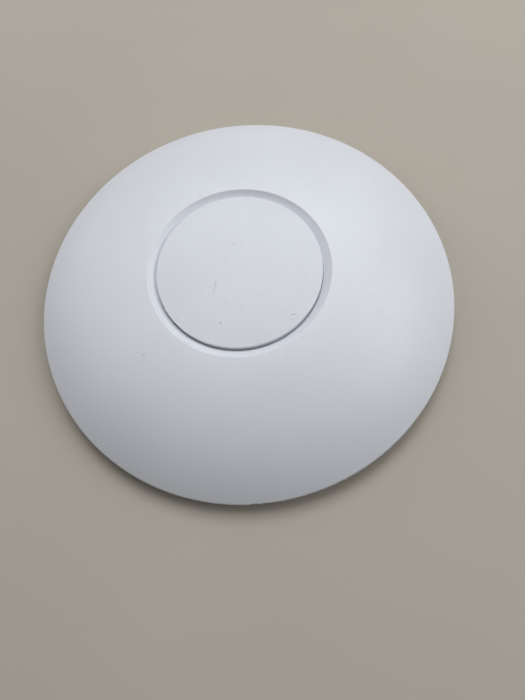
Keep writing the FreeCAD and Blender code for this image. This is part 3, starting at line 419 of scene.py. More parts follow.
@dataclass(frozen=True)
class TinPlate(Finish):
    """Cold-rolled steel sheet with a hot-dipped tin coat.

    The eye sees a warm grey metal whose crystals, a few millimetres across, each catch the light a
    little differently.

    Attributes:
        crystal_mm: Size of a tin crystal.
    """

    crystal_mm: float = 2.6

    def gloss(self, tree: Tree, along: Socket) -> Socket:
        """Roughness that changes from crystal to crystal.

        Args:
            tree: The material's tree.
            along: Object coordinates in metres, stretched along the grain.

        Returns:
            The roughness.
        """
        spacing = {"Vector": along, "Scale": 1.0 / mm(self.crystal_mm)}
        cells = add_node(tree, "TexVoronoi", spacing).outputs["Color"]
        chance = add_node(tree, "SeparateXYZ", {0: cells}).outputs[0]
        low, high = self.roughness - self.wander, self.roughness + self.wander
        return add_node(tree, "MapRange", {0: chance, 1: 0.0, 2: 1.0, 3: low, 4: high}).outputs[0]


@dataclass(frozen=True)
class SolderMask(Finish):
    """Glass-epoxy laminate under a cured green solder mask, with etched copper tracks.

    The eye sees a glossy green with paler lines where copper lies under the mask, and a fine weave
    of glass threads 0.5 mm apart.

    Attributes:
        track_colour: sRGB hex colour over copper.
        track_pitch_mm: Distance from track to track.
        track_mm: Width of a track.
        thread_mm: Distance from thread to thread of the glass cloth.
    """

    track_colour: str = "#2F7B55"
    track_pitch_mm: float = 2.2
    track_mm: float = 0.3
    thread_mm: float = 0.5

    def tone(self, tree: Tree, place: Socket, along: Socket) -> Socket:
        """Mask colour, paler over the tracks.

        Args:
            tree: The material's tree.
            place: Object coordinates in metres.
            along: The same, stretched along the grain.

        Returns:
            The colour.
        """
        tracks = add_node(tree, "TexBrick", {
            "Vector": place,
            "Scale": 1.0 / mm(self.track_pitch_mm),
            "Mortar Size": self.track_mm / self.track_pitch_mm / 2.0,
            "Mortar Smooth": 0.1,
            "Brick Width": 3.5,
            "Row Height": 1.0,
        }, offset=0.37).outputs["Fac"]
        mask = super().tone(tree, place, along)
        copper = linear(self.track_colour)
        return add_node(tree, "Mix", {0: tracks, 6: mask, 7: copper}, data_type="RGBA").outputs[2]

    def height(self, tree: Tree, place: Socket, along: Socket) -> Socket:
        """Warp and weft of the glass cloth.

        Args:
            tree: The material's tree.
            place: Object coordinates in metres.
            along: The same, stretched along the grain.

        Returns:
            The height.
        """
        threads = {"Vector": place, "Scale": WAVE_WIDTH / mm(self.thread_mm)}
        warp = add_node(tree, "TexWave", threads, bands_direction="X").outputs["Fac"]
        weft = add_node(tree, "TexWave", threads, bands_direction="Y").outputs["Fac"]
        return add_node(tree, "Math", {0: warp, 1: weft}, operation="MAXIMUM").outputs[0]


@dataclass(frozen=True)
class PrintedPolyester(Finish):
    """Silver-white polyester film with a printed blank form: a frame and ruled lines, no words.

    The eye sees a smooth semi-matt sticker, brighter in its sheen than the plastic round it.

    Attributes:
        ink: sRGB hex colour of the print.
        middle_mm: Centre of the label.
        half_mm: Half its width and depth.
        inset_mm: From the label's edge to the frame's line.
        line_mm: Width of a line.
        pitch_mm: From one ruled line to the next.
    """

    ink: str = "#63666B"
    middle_mm: Point = (0.0, 0.0)
    half_mm: Point = (1.0, 1.0)
    inset_mm: float = 1.1
    line_mm: float = 0.3
    pitch_mm: float = 2.9

    def tone(self, tree: Tree, place: Socket, along: Socket) -> Socket:
        """Film colour under the printed frame and rules.

        Args:
            tree: The material's tree.
            place: Object coordinates in metres.
            along: The same, stretched along the grain.

        Returns:
            The colour.
        """
        parts = add_node(tree, "SeparateXYZ", {0: place}).outputs
        half = mm(self.line_mm) / 2.0
        inside, lines = [], []
        for axis in (0, 1):
            middle, reach = mm(self.middle_mm[axis]), mm(self.half_mm[axis] - self.inset_mm)
            centred = add_node(tree, "Math", {0: parts[axis], 1: middle}, operation="SUBTRACT").outputs[0]
            away = add_node(tree, "Math", {0: centred}, operation="ABSOLUTE").outputs[0]
            inside.append(add_node(tree, "Math", {0: away, 1: reach}, operation="LESS_THAN").outputs[0])
            line = {0: away, 1: reach, 2: half}
            lines.append(add_node(tree, "Math", line, operation="COMPARE").outputs[0])
        within = add_node(tree, "Math", {0: inside[0], 1: inside[1]}, operation="MULTIPLY").outputs[0]
        border = add_node(tree, "Math", {0: lines[0], 1: lines[1]}, operation="MAXIMUM").outputs[0]
        row = {0: parts[1], 1: mm(self.pitch_mm) / 2.0}
        height = add_node(tree, "Math", row, operation="PINGPONG").outputs[0]
        rule = add_node(tree, "Math", {0: height, 1: half}, operation="LESS_THAN").outputs[0]
        ink = add_node(tree, "Math", {0: border, 1: rule}, operation="MAXIMUM").outputs[0]
        printed = add_node(tree, "Math", {0: ink, 1: within}, operation="MULTIPLY").outputs[0]
        film = super().tone(tree, place, along)
        return add_node(tree, "Mix", {0: printed, 6: film, 7: linear(self.ink)}, data_type="RGBA").outputs[2]


DISC_SCUFFS = (
    Mark(-10.2, -10.6, 79.0, 8.5, 0.75, 0.30),
    Mark(-9.6, -7.9, 82.0, 2.6, 0.9, 0.42),
    Mark(-7.2, -25.6, 12.0, 1.8, 1.0, 0.55),
    Mark(23.4, -22.3, 14.0, 4.2, 0.8, 0.42),
    Mark(1.9, -18.4, 60.0, 1.4, 1.1, 0.25),
    Mark(-2.0, 11.2, 80.0, 2.2, 1.2, 0.22),
    Mark(9.8, -13.9, 20.0, 2.6, 0.8, 0.18),
)
DOME_SCUFFS = (
    Mark(-18.6, 37.6, 25.0, 1.8, 1.0, 0.45),
    Mark(-40.2, -37.9, 30.0, 1.9, 1.3, 0.35),
    Mark(60.5, -20.0, 40.0, 3.0, 1.0, 0.2),
)

COVER = SatinPolycarbonate("satin_moulded_polycarbonate", "#DFE1E6", 0.46, ior=1.585, grain_mm=0.9,
                           relief_mm=0.012, blotch_mm=38.0, blotch=0.035, marks=DOME_SCUFFS)
DISC = SatinPolycarbonate("satin_moulded_disc_polycarbonate", "#DDDFE4", 0.6, ior=1.585, grain_mm=0.9,
                          relief_mm=0.01, blotch_mm=30.0, blotch=0.04, speck_share=0.45, marks=DISC_SCUFFS)
# Polycarbonate blend from a spark-eroded tool: dull white, with a fine sandy texture
BACK = PittedFace("spark_eroded_polycarbonate", "#D9DBDE", 0.58, ior=1.585, grain_mm=0.6, relief_mm=0.04,
                  blotch_mm=30.0, blotch=0.05)
# ABS from a coarser spark-eroded tool: a shade greyer and duller than the back cover
BRACKET = PittedFace("spark_eroded_abs", "#CFD1D2", 0.62, ior=1.54, grain_mm=0.75, relief_mm=0.06,
                     blotch_mm=22.0, blotch=0.07)
# Acrylic, moulded in a polished tool: clear and slightly hazy, so the gap under the disc stays dark
LIGHT_GUIDE = Finish("moulded_clear_acrylic", "#E9EDF0", 0.16, ior=1.49, grain_mm=2.0, relief_mm=0.01,
                     clarity=0.85)
# Steel with bright zinc plate: bluish, with the fine turned lines of a cold-headed screw
ZINC_SCREW = Finish("zinc_plated_steel", "#B9BEC6", 0.3, metallic=1.0, grain_mm=0.5, relief_mm=0.02,
                    blotch_mm=3.0, blotch=0.18, wander=0.1, stretch=6.0)
TIN = TinPlate("hot_dipped_tin_plate", "#C3C3C0", 0.3, metallic=1.0, grain_mm=0.6, relief_mm=0.008,
               blotch_mm=5.0, blotch=0.1, wander=0.12, stretch=3.0)
# Rolled aluminium sheet, stamped and left bare: pale, with fine lines along the rolling direction
SPREADER = Finish("rolled_bare_aluminium", "#C9CBCE", 0.36, metallic=1.0, grain_mm=0.7, relief_mm=0.012,
                  blotch_mm=6.0, blotch=0.08, wander=0.08, stretch=25.0)
# Silicone pad filled with ceramic powder: dull blue-grey and slightly mottled
PAD = Finish("filled_silicone_rubber", "#7F8C9C", 0.85, ior=1.42, grain_mm=0.5, relief_mm=0.08,
             blotch_mm=4.0, blotch=0.12)
# Black epoxy moulding compound, matt from a blasted mould, speckled by its silica filler
CHIP = Finish("moulded_epoxy_compound", "#232427", 0.58, ior=1.55, grain_mm=0.3, relief_mm=0.02,
              blotch_mm=1.2, blotch=0.2)
# Sintered ferrite, ground on its faces: dark grey with small pores
FERRITE = PittedFace("sintered_ferrite", "#38393C", 0.62, ior=2.2, grain_mm=0.5, relief_mm=0.03,
                     blotch_mm=3.0, blotch=0.15)
# Drawn aluminium can under a clear sleeve: bright, with fine draw lines
CAN = Finish("drawn_aluminium_can", "#C4C7CB", 0.28, metallic=1.0, grain_mm=0.4, relief_mm=0.006,
             blotch_mm=4.0, blotch=0.08, stretch=12.0)
# Clear epoxy over yellow phosphor, cast: a pale yellow window
LAMP = Finish("cast_phosphor_epoxy", "#EBE3B4", 0.22, ior=1.54, grain_mm=0.5, relief_mm=0.01,
              blotch_mm=1.0, blotch=0.1, clarity=0.25)
# Black nylon, moulded, with the soft shine of a polished tool
SWITCH = Finish("moulded_black_nylon", "#222326", 0.36, ior=1.53, grain_mm=0.6, relief_mm=0.01,
                blotch_mm=5.0, blotch=0.15)
# Glass-filled polyester, moulded black: duller than nylon, with a trace of glass fibre in its skin
JACK = Finish("glass_filled_polyester", "#1E1F21", 0.5, ior=1.57, grain_mm=0.5, relief_mm=0.03,
              blotch_mm=2.0, blotch=0.22, stretch=5.0)
# Phosphor bronze with a thin gold flash, wiped clean where plugs rub
GOLD = Finish("gold_flashed_bronze", "#EBC678", 0.22, metallic=1.0, grain_mm=0.4, relief_mm=0.006,
              blotch_mm=1.5, blotch=0.15, stretch=3.0)
MASK = SolderMask("green_solder_mask", "#1C5239", 0.3, ior=1.52, relief_mm=0.012, blotch_mm=14.0,
                  blotch=0.12)
# Amber polyester film tape, wound tight: smooth and a little glossy
TAPE = Finish("amber_polyester_tape", "#C4892E", 0.28, ior=1.6, grain_mm=1.0, relief_mm=0.02,
              blotch_mm=4.0, blotch=0.12, stretch=4.0)
# Fired barium titanate ceramic: matt tan
CERAMIC = Finish("fired_tan_ceramic", "#9C7C56", 0.6, ior=1.8, grain_mm=0.2, relief_mm=0.01,
                 blotch_mm=1.0, blotch=0.18)
# Reflowed tin solder: bright and slightly grainy
SOLDER = Finish("reflowed_tin_solder", "#CDCFD0", 0.24, metallic=1.0, grain_mm=0.3, relief_mm=0.01,
                blotch_mm=1.0, blotch=0.1, wander=0.1)
# Hardened spring steel, blued by tempering: dark straw to blue-grey
SPRING = Finish("tempered_spring_steel", "#7D7F86", 0.34, metallic=1.0, grain_mm=0.5, relief_mm=0.01,
                blotch_mm=2.5, blotch=0.3, wander=0.1)
# Matt cotton paper of a studio roll
PAPER = Finish("cotton_studio_paper", "#B4AC9F", 0.85, grain_mm=1.4, relief_mm=0.03, blotch_mm=140.0,
               blotch=0.04)


# ---- Mesh work ------------------------------------------------------------------------------


class Stock:
    """One piece under construction. Its mesh is in metres, and its methods take millimetres."""

    def __init__(self) -> None:
        """Start with an empty mesh."""
        self.mesh = bmesh.new()

    def block(self, centre: Place, size: Place) -> None:
        """Args:
            centre: Centre of the block.
            size: Its width, depth and height.
        """
        made = bmesh.ops.create_cube(self.mesh, size=1.0)["verts"]
        bmesh.ops.scale(self.mesh, vec=[mm(side) for side in size], verts=made)
        bmesh.ops.translate(self.mesh, vec=[mm(side) for side in centre], verts=made)

    def prism(self, outline: list[Point], low: float, high: float) -> None:
        """Add a prism that runs along X.

        Args:
            outline: Its corners, as Y and Z.
            low: Where it starts.
            high: Where it ends.
        """
        rings = []
        for level in (low, high):
            rings.append([self.mesh.verts.new((mm(level), mm(y), mm(z))) for y, z in outline])
        count = len(outline)
        for index in range(count):
            after = (index + 1) % count
            self.mesh.faces.new((rings[0][index], rings[0][after], rings[1][after], rings[1][index]))
        self.mesh.faces.new(rings[0])
        self.mesh.faces.new(rings[1])

    def lathe(self, outline: Sequence[Point], centre: Place, sides: int, closed: bool = False,
              capped: bool = True) -> None:
        """Add a turned shape about an upright axis.

        Args:
            outline: Points (radius, height) from one end to the other; radius 0 is on the axis.
            centre: Where radius 0 and height 0 lie.
            sides: Number of flats round it.
            closed: Whether the outline joins up to a ring.
            capped: Whether an open outline's ends are closed with flat faces.
        """
        middle = Vector([mm(side) for side in centre])
        rings = []
        for radius, height in outline:
            count = sides if radius > 0.0 else 1
            turns = [2.0 * math.pi * step / sides for step in range(count)]
            spots = [Vector((radius * math.cos(turn), radius * math.sin(turn), height)) for turn in turns]
            rings.append([self.mesh.verts.new(middle + spot / MM_PER_METRE) for spot in spots])
        pairs = list(zip(rings, rings[1:])) + ([(rings[-1], rings[0])] if closed else [])
        for first, second in pairs:
            for step in range(sides):
                after = (step + 1) % sides
                corners = [first[step % len(first)], first[after % len(first)], second[after % len(second)],
                           second[step % len(second)]]
                self.mesh.faces.new(list(dict.fromkeys(corners)))
        if capped and not closed:
            for ring in (rings[0], rings[-1]):
                if len(ring) > 1:
                    self.mesh.faces.new(ring)

    def finish(self, name: str, body: Body, slot: Slot, finish: Finish,
               ease_mm: float = 0.0) -> bpy.types.Object:
        """Ease the edges, dress the piece and hang it on its body.

        Args:
            name: Name of the piece.
            body: The body that it rides on.
            slot: Not used.
            finish: Its finish.
            ease_mm: Width of the eased edges.

        Returns:
            The piece.
        """
        if ease_mm > 0.0:
            bmesh.ops.bevel(self.mesh, geom=self.mesh.edges[:], offset=mm(ease_mm), segments=2, profile=0.6,
                            affect="EDGES")
        piece = self.shape(name, finish.material())
        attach(piece, body.value)
        LOG.info("%s: built, %d faces, %s", name, len(piece.data.polygons), finish.name)
        return piece

    def shape(self, name: str, material: bpy.types.Material) -> bpy.types.Object:
        """Turn the finished mesh into an object.

        Args:
            name: Name of the object.
            material: Its material.

        Returns:
            The object, linked to the scene.
        """
        bmesh.ops.recalc_face_normals(self.mesh, faces=self.mesh.faces[:])
        data = bpy.data.meshes.new(name)
        self.mesh.to_mesh(data)
        self.mesh.free()
        data.shade_smooth()
        data.set_sharp_from_angle(angle=math.radians(SHARP_TURN))
        data.materials.append(material)
        made = bpy.data.objects.new(name, data)
        bpy.context.scene.collection.objects.link(made)
        return made


def dress(finish: Finish, *names: str) -> None:
    """Give carried-over nodes their finish.

    Args:
        finish: The finish.
        *names: Names of the nodes.
    """
    for name in names:
        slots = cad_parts[name].data.materials
        slots.clear()
        slots.append(finish.material())
        LOG.info("%s: dressed, %s", name, finish.name)


def box_mm(name: str) -> tuple[Vector, Vector]:
    """Lowest and highest corner of a node at rest, in millimetres."""
    low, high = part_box(name)
    return Vector(low) * MM_PER_METRE, Vector(high) * MM_PER_METRE


def around(radius: float, start: float, count: int) -> list[Point]:
    """Points spaced evenly on a circle about the axis.

    Args:
        radius: Radius of the circle.
        start: Angle of the first point in degrees.
        count: Number of points.

    Returns:
        The points.
    """
    turns = [math.radians(start + 360.0 * step / count) for step in range(count)]
    return [(radius * math.cos(turn), radius * math.sin(turn)) for turn in turns]


# ---- Sub-assemblies -------------------------------------------------------------------------


@dataclass
class FrontShell:
    """Domed cover, centre disc and the light ring under the gap between them.

    Attributes:
        peg_circle: Radius of the circle that the disc's pegs stand on.
        peg_radius: Radius of a peg.
        washer_radius: Outer radius of the push-on washer that locks each peg.
        washer_thickness: Thickness of its spring steel.
        washer_dish: How far its teeth dip below its rim.
        washer_gap: Gap from the peg to its teeth.
        pegs: Number of pegs.
        first_peg: Angle of the first peg in degrees.
    """

    peg_circle: float = 32.6
    peg_radius: float = 1.5
    washer_radius: float = 2.9
    washer_thickness: float = 0.15
    washer_dish: float = 0.3
    washer_gap: float = 0.02
    pegs: int = 4
    first_peg: float = 45.0

    def build(self) -> None:
        """Make the push-on washers that hold the disc to the light ring."""
        washer_top = box_mm("centre_disc")[0].z + self.washer_dish + self.washer_thickness
        stock = Stock()
        inner = self.peg_radius + self.washer_gap
        rim = inner + (self.washer_radius - inner) / 2.0
        outline = [(inner, -self.washer_dish), (rim, 0.0), (self.washer_radius, 0.0),
                   (self.washer_radius, -self.washer_thickness), (rim, -self.washer_thickness),
                   (inner, -self.washer_dish - self.washer_thickness)]
        for spot in around(self.peg_circle, self.first_peg, self.pegs):
            stock.lathe(outline, (*spot, washer_top), sides=24, closed=True)
        stock.finish("push_on_washers", Body.HOUSING, Slot.SCREW, SPRING)

    def dress(self) -> None:
        """Finish the cover, the disc and the light ring."""
        dress(COVER, "front_cover")
        dress(DISC, "centre_disc")
        dress(LIGHT_GUIDE, "light_ring")


@dataclass
class BackShell:
    """Back cover with its screws, cable door and blank label.

    Attributes:
        marks: Number of places round the cover for an ejector-pin mark.
        first_mark: Angle of the first place in degrees.
        mark_circle: Radius of the circle of marks.
        mark_radius: Radius of a mark.
        mark_height: How far the rim of a mark stands proud.
        mark_rim: Width of that rim.
        mark_slope: How far the rim's sides lean in.
        root: How far the marks and the arrow are rooted in the cover's face.
        bay_half_width: Half the width that the marks leave clear for the port bay.
        arrow_radius: Distance of the alignment arrow's tip from the axis.
        arrow_reach: From the arrow's middle to its tip.
        arrow_rim: Width of its rim, measured at a corner.
        arrow_height: How far it stands proud.
        arrow_slope: How far its sides lean in, measured at a corner.
        gate: Profile of the trimmed stub where the plastic was fed in, as radius and height.
    """

    marks: int = 12
    first_mark: float = 15.0
    mark_circle: float = 72.0
    mark_radius: float = 2.6
    mark_height: float = 0.12
    mark_rim: float = 0.36
    mark_slope: float = 0.1
    root: float = 0.02
    bay_half_width: float = 26.0
    arrow_radius: float = 63.5
    arrow_reach: float = 3.4
    arrow_rim: float = 1.9
    arrow_height: float = 0.42
    arrow_slope: float = 0.3
    gate: tuple[Point, ...] = ((1.1, 0.02), (1.1, -0.18), (0.825, -0.26), (0.0, -0.24))

    def build(self) -> None:
        """Make the moulding marks and the arrow that lines the housing up with its bracket."""
        face = box_mm("back_cover")[0].z
        self.ejector_marks(face)
        self.arrow(face)

    def ejector_marks(self, face: float) -> None:
        """Make the low rims that ejector pins leave, and the gate stub.

        Args:
            face: Height of the cover's back face.
        """
        stock = Stock()
        rim = self.rim(self.mark_radius, self.mark_rim, self.mark_height, self.mark_slope)
        for spot in around(self.mark_circle, self.first_mark, self.marks):
            if abs(spot[0]) < self.bay_half_width and spot[1] > 0.0:
                continue
            stock.lathe(rim, (*spot, face), sides=40, closed=True)
        stock.lathe(self.gate, (0.0, -self.mark_circle, face), sides=28)
        stock.finish("moulding_marks", Body.HOUSING, Slot.BACK, BACK)

    def arrow(self, face: float) -> None:
        """Make the raised triangular rim that points at the bracket.

        Args:
            face: Height of the cover's back face.
        """
        stock = Stock()
        rim = self.rim(self.arrow_reach, self.arrow_rim, self.arrow_height, self.arrow_slope)
        stock.lathe(rim, (-self.arrow_radius - self.arrow_reach, 0.0, face), sides=3, closed=True)
        stock.finish("alignment_arrow", Body.HOUSING, Slot.BACK, BACK, ease_mm=0.05)

    def rim(self, outer: float, width: float, height: float, slope: float) -> list[Point]:
        """Profile of a raised rim whose sides lean in.

        Args:
            outer: Its outer radius.
            width: Its width at the foot.
            height: How far it stands proud.
            slope: How far each side leans in.

        Returns:
            The profile, as radius and height.
        """
        inner = outer - width
        return [(outer, self.root), (outer - slope, -height), (inner + slope, -height), (inner, self.root)]

    def dress(self) -> None:
        """Finish the cover, its screws, the door and the label."""
        low, high = box_mm("rating_label")
        middle = (low + high) / 2.0
        half = (high - low) / 2.0
        label = PrintedPolyester("printed_polyester_film", "#E6E7E8", 0.34, ior=1.6, grain_mm=1.0,
                                 relief_mm=0.006, middle_mm=(middle.x, middle.y), half_mm=(half.x, half.y))
        dress(BACK, "back_cover", "cable_door")
        dress(ZINC_SCREW, "cover_screws")
        dress(label, "rating_label")


@dataclass
class CeilingBracket:
    """Flat bracket that the housing twists onto, with its latch arm.

    Attributes:
        stubs: Number of gate stubs.
        stub_circle: Radius of the circle that they stand on.
        first_stub: Angle of the first one in degrees.
        stub: Profile of the stub that is left where the plastic was fed in, as radius and height.
    """

    stubs: int = 2
    stub_circle: float = 42.0
    first_stub: float = 195.0
    stub: tuple[Point, ...] = ((0.9, -0.02), (0.9, 0.175), (0.63, 0.25), (0.0, 0.225))

    def build(self) -> None:
        """Make the gate stubs on the bracket's front face, where they clear the housing."""
        plate = box_mm("latch_arm")[1].z
        stock = Stock()
        for spot in around(self.stub_circle, self.first_stub, self.stubs):
            stock.lathe(self.stub, (*spot, plate), sides=24)
        stock.finish("bracket_gate_stubs", Body.BRACKET, Slot.BRACKET, BRACKET)

    def dress(self) -> None:
        """Finish the bracket and its latch."""
        dress(BRACKET, "mounting_bracket", "latch_arm")


@dataclass
class PortBay:
    """The two network jacks at the end of the port bay, and the reset button beside them.

    Attributes:
        contacts: Number of contacts in a jack.
        contact_width: Width of a contact.
        pin_pitch: From one soldered pin to the next.
        pin_inset: From the jack's back to its first row of pins.
        pin_rows: From the first row of pins to the second.
        rib_width: Width of a comb rib between two contacts.
        rib_height: How far a rib hangs from the socket's roof.
        rib_length: Length of a rib, from the back of the contacts.
        joint: Profile of a jack's soldered pin above the board, as radius and height.
        leg: Profile of a switch's soldered leg, as radius and height.
        leg_inset: From the switch's sides and ends to its legs.
    """

    contacts: int = 8
    contact_width: float = 0.36
    pin_pitch: float = 1.02
    pin_inset: float = 2.2
    pin_rows: float = 2.54
    rib_width: float = 0.4
    rib_height: float = 0.9
    rib_length: float = 3.4
    joint: tuple[Point, ...] = ((0.0, 1.1), (0.2, 1.05), (0.26, 0.6), (0.372, 0.25), (0.62, -0.01))
    leg: tuple[Point, ...] = ((0.0, 0.9), (0.22, 0.8), (0.3, 0.4), (0.6, -0.01))
    leg_inset: Point = (0.8, 0.6)

    def build(self) -> None:
        """Make the contact combs, the solder joints and the switch's legs."""
        for side in ("main", "aux"):
            self.comb(side)
        self.solder_joints()
        self.switch_legs()

    def comb(self, side: str) -> None:
        """Make the ribs that keep one jack's contacts apart.

        Args:
            side: Which jack.
        """
        low, high = box_mm("jack_contacts_" + side)
        pitch = (high.x - low.x - self.contact_width) / (self.contacts - 1)
        stock = Stock()
        for gap in range(self.contacts - 1):
            x = low.x + self.contact_width / 2.0 + (gap + 0.5) * pitch
            middle = (x, low.y + self.rib_length / 2.0, high.z - self.rib_height / 2.0)
            stock.block(middle, (self.rib_width, self.rib_length, self.rib_height))
        stock.finish("contact_comb_" + side, Body.HOUSING, Slot.JACK, JACK, ease_mm=0.05)

    def solder_joints(self) -> None:
        """Make the solder joints of both jacks' pins on the board's front face."""
        board = box_mm("main_board")[1].z
        stock = Stock()
        for side in ("main", "aux"):
            low, high = box_mm("ethernet_jack_" + side)
            middle = (low.x + high.x) / 2.0
            for pin in range(self.contacts):
                x = middle + (pin - (self.contacts - 1) / 2.0) * self.pin_pitch
                y = low.y + self.pin_inset + self.pin_rows * (pin % 2)
                stock.lathe(self.joint, (x, y, board), sides=14)
        stock.finish("jack_solder_joints", Body.HOUSING, Slot.TIN, SOLDER)

    def switch_legs(self) -> None:
        """Make the four soldered legs of the reset switch."""
        board = box_mm("main_board")[1].z
        low, high = box_mm("reset_switch")
        across, along = self.leg_inset
        stock = Stock()
        for x in (low.x + across, high.x - across):
            for y in (low.y + along, high.y - along):
                stock.lathe(self.leg, (x, y, board), sides=14)
        stock.finish("switch_solder_joints", Body.HOUSING, Slot.TIN, SOLDER)

    def dress(self) -> None:
        """Finish the jacks, their contacts, the switch and the button."""
        dress(TIN, "ethernet_jack_main", "ethernet_jack_aux")
        dress(JACK, "jack_insert_main", "jack_insert_aux")
        dress(GOLD, "jack_contacts_main", "jack_contacts_aux")
        dress(SWITCH, "reset_switch", "reset_button")


@dataclass(frozen=True)
class ChipSize:
    """Size of a small two-ended part in millimetres.

    Attributes:
        length: From end to end.
        width: Across.
        height: Above the board.
    """

    length: float
    width: float
    height: float


@dataclass
class MainBoard:
    """The round circuit board with its screws, chips, cans and small parts.

    Attributes:
        groups: How many rows of small parts to try to place.
        usable_radius: Radius that the rows stay inside.
        margin: Clear space round every larger component.
        spacing: Clear space from one small part to the next.
        end_share: Share of a part's length that each plated end takes.
        plating: How far the plated ends stand out all round, and how far the body runs into them.
        row_least: Fewest parts in a row.
        row_most: Most parts in a row.
        screw_circle: Radius of the circle of board screws.
        lamp_side: Width of a status lamp.
        keep_out: Half the side of the square kept free round a screw or lamp.
        foot_gap: How far off the board's face a component may stand and still count as on it.
        tape_film: Thickness of the winding tape.
        tape_slack: Gap under it.
        tape_foot: From the core's foot to the tape's edge.
        tape_half_width: Half the tape's width.
    """

    groups: int = 420
    usable_radius: float = 62.0
    margin: float = 1.2
    spacing: float = 0.7
    end_share: float = 0.22
    plating: float = 0.04
    row_least: int = 2
    row_most: int = 6
    screw_circle: float = 65.0
    lamp_side: float = 1.6
    keep_out: float = 3.2
    foot_gap: float = 0.1
    tape_film: float = 0.08
    tape_slack: float = 0.005
    tape_foot: float = 0.3
    tape_half_width: float = 3.6

    def build(self) -> None:
        """Make the small parts in rows, and the winding's tape."""
        self.small_parts()
        self.winding_tape()

    def obstacles(self) -> list[tuple[Vector, Vector]]:
        """Boxes on the board's front face that small parts keep out of.

        Returns:
            Lowest and highest corners in millimetres.
        """
        board = box_mm("main_board")[1].z
        found = [box_mm(name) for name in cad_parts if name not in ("status_leds", "board_screws")]
        standing = [pair for pair in found if abs(pair[0].z - board) < self.foot_gap]
        reach = box_mm("status_leds")[1].x
        joints = [box_mm(name) for name in ("ethernet_jack_main", "ethernet_jack_aux", "reset_switch")]
        lamp_circle = reach - self.lamp_side / 2.0
        screws = [Vector((*spot, board)) for spot in around(self.screw_circle, start=45.0, count=4)]
        lamps = [Vector((*spot, board)) for spot in around(lamp_circle, start=0.0, count=4)]
        half = Vector((self.keep_out, self.keep_out, 0.0))
        return standing + joints + [(spot - half, spot + half) for spot in screws + lamps]

    def small_parts(self) -> None:
        """Place rows of capacitors and resistors wherever the board is free."""
        chance = random.Random(SEED)
        board = box_mm("main_board")[1].z
        taken = self.obstacles()
        bodies = {"chip_capacitors": Stock(), "chip_resistors": Stock()}
        ends = Stock()
        sizes = {"chip_capacitors": (ChipSize(1.6, 0.8, 0.7), ChipSize(1.0, 0.5, 0.5)),
                 "chip_resistors": (ChipSize(1.6, 0.8, 0.45), ChipSize(1.0, 0.5, 0.35))}
        for _ in range(self.groups):
            kind = chance.choice(sorted(bodies))
            size = chance.choice(sizes[kind])
            count = chance.randint(self.row_least, self.row_most)
            upright = chance.random() < 0.5
            turn = chance.uniform(0.0, 2.0 * math.pi)
            radius = self.usable_radius * math.sqrt(chance.random())
            start = (radius * math.cos(turn), radius * math.sin(turn))
            row = self.row(start, size, count, upright)
            if not self.free(row, size, taken):
                continue
            for spot in row:
                self.two_ended(bodies[kind], ends, (*spot, board), size, upright)
            reach = Vector((size.length, size.length, 0.0))
            taken += [(Vector((*spot, board)) - reach, Vector((*spot, board)) + reach) for spot in row]
        bodies["chip_capacitors"].finish("chip_capacitors", Body.HOUSING, Slot.CHIP, CERAMIC, ease_mm=0.05)
        bodies["chip_resistors"].finish("chip_resistors", Body.HOUSING, Slot.CHIP, CHIP, ease_mm=0.04)
        ends.finish("chip_part_ends", Body.HOUSING, Slot.TIN, SOLDER, ease_mm=0.05)

    def row(self, start: Point, size: ChipSize, count: int, upright: bool) -> list[Point]:
        """Centres of a row of parts that stand side by side.

        Args:
            start: Centre of the first part.
            size: Size of each part.
            count: Number of parts.
            upright: Whether each part lies along Y, so that the row runs along X.

        Returns:
            The centres.
        """
        step = size.width + self.spacing
        if upright:
            return [(start[0] + step * index, start[1]) for index in range(count)]
        return [(start[0], start[1] + step * index) for index in range(count)]

    def free(self, row: list[Point], size: ChipSize, taken: list[tuple[Vector, Vector]]) -> bool:
        """Whether a row lies on the board and clears everything.

        Args:
            row: Centres of the parts.
            size: Size of each part.
            taken: Boxes to clear.

        Returns:
            True where every part is clear.
        """
        reach = self.margin + size.length / 2.0
        for x, y in row:
            if math.hypot(x, y) > self.usable_radius:
                return False
            for low, high in taken:
                if low.x - reach < x < high.x + reach and low.y - reach < y < high.y + reach:
                    return False
        return True

    def two_ended(self, body: Stock, ends: Stock, foot: Place, size: ChipSize, upright: bool) -> None:
        """Add one small part with its two plated ends.

        Args:
            body: Stock for the part's body.
            ends: Stock for the plated ends.
            foot: Centre of its underside.
            size: Its size.
            upright: Whether it lies along Y.
        """
        x, y, z = foot
        middle = z + size.height / 2.0
        cap = size.length * self.end_share
        inner = size.length - 2.0 * cap
        away = (size.length - cap) / 2.0
        wide, tall = size.width + self.plating, size.height + self.plating
        if upright:
            body.block((x, y, middle), (size.width, inner + self.plating, size.height))
            for side in (-1.0, 1.0):
                ends.block((x, y + side * away, middle), (wide, cap, tall))
            return
        body.block((x, y, middle), (inner + self.plating, size.width, size.height))
        for side in (-1.0, 1.0):
            ends.block((x + side * away, y, middle), (cap, wide, tall))

    def winding_tape(self) -> None:
        """Make the tape wound over the transformer, between its two core halves."""
        low, high = box_mm("poe_transformer")
        film, slack = self.tape_film, self.tape_slack
        foot = low.z + self.tape_foot
        outline = [
            (low.y - film, foot), (low.y - film, high.z + film), (high.y + film, high.z + film),
            (high.y + film, foot), (high.y + slack, foot), (high.y + slack, high.z + slack),
            (low.y - slack, high.z + slack), (low.y - slack, foot),
        ]
        stock = Stock()
        middle = (low.x + high.x) / 2.0
        stock.prism(outline, middle - self.tape_half_width, middle + self.tape_half_width)
        stock.finish("winding_tape", Body.HOUSING, Slot.CORE, TAPE, ease_mm=0.02)

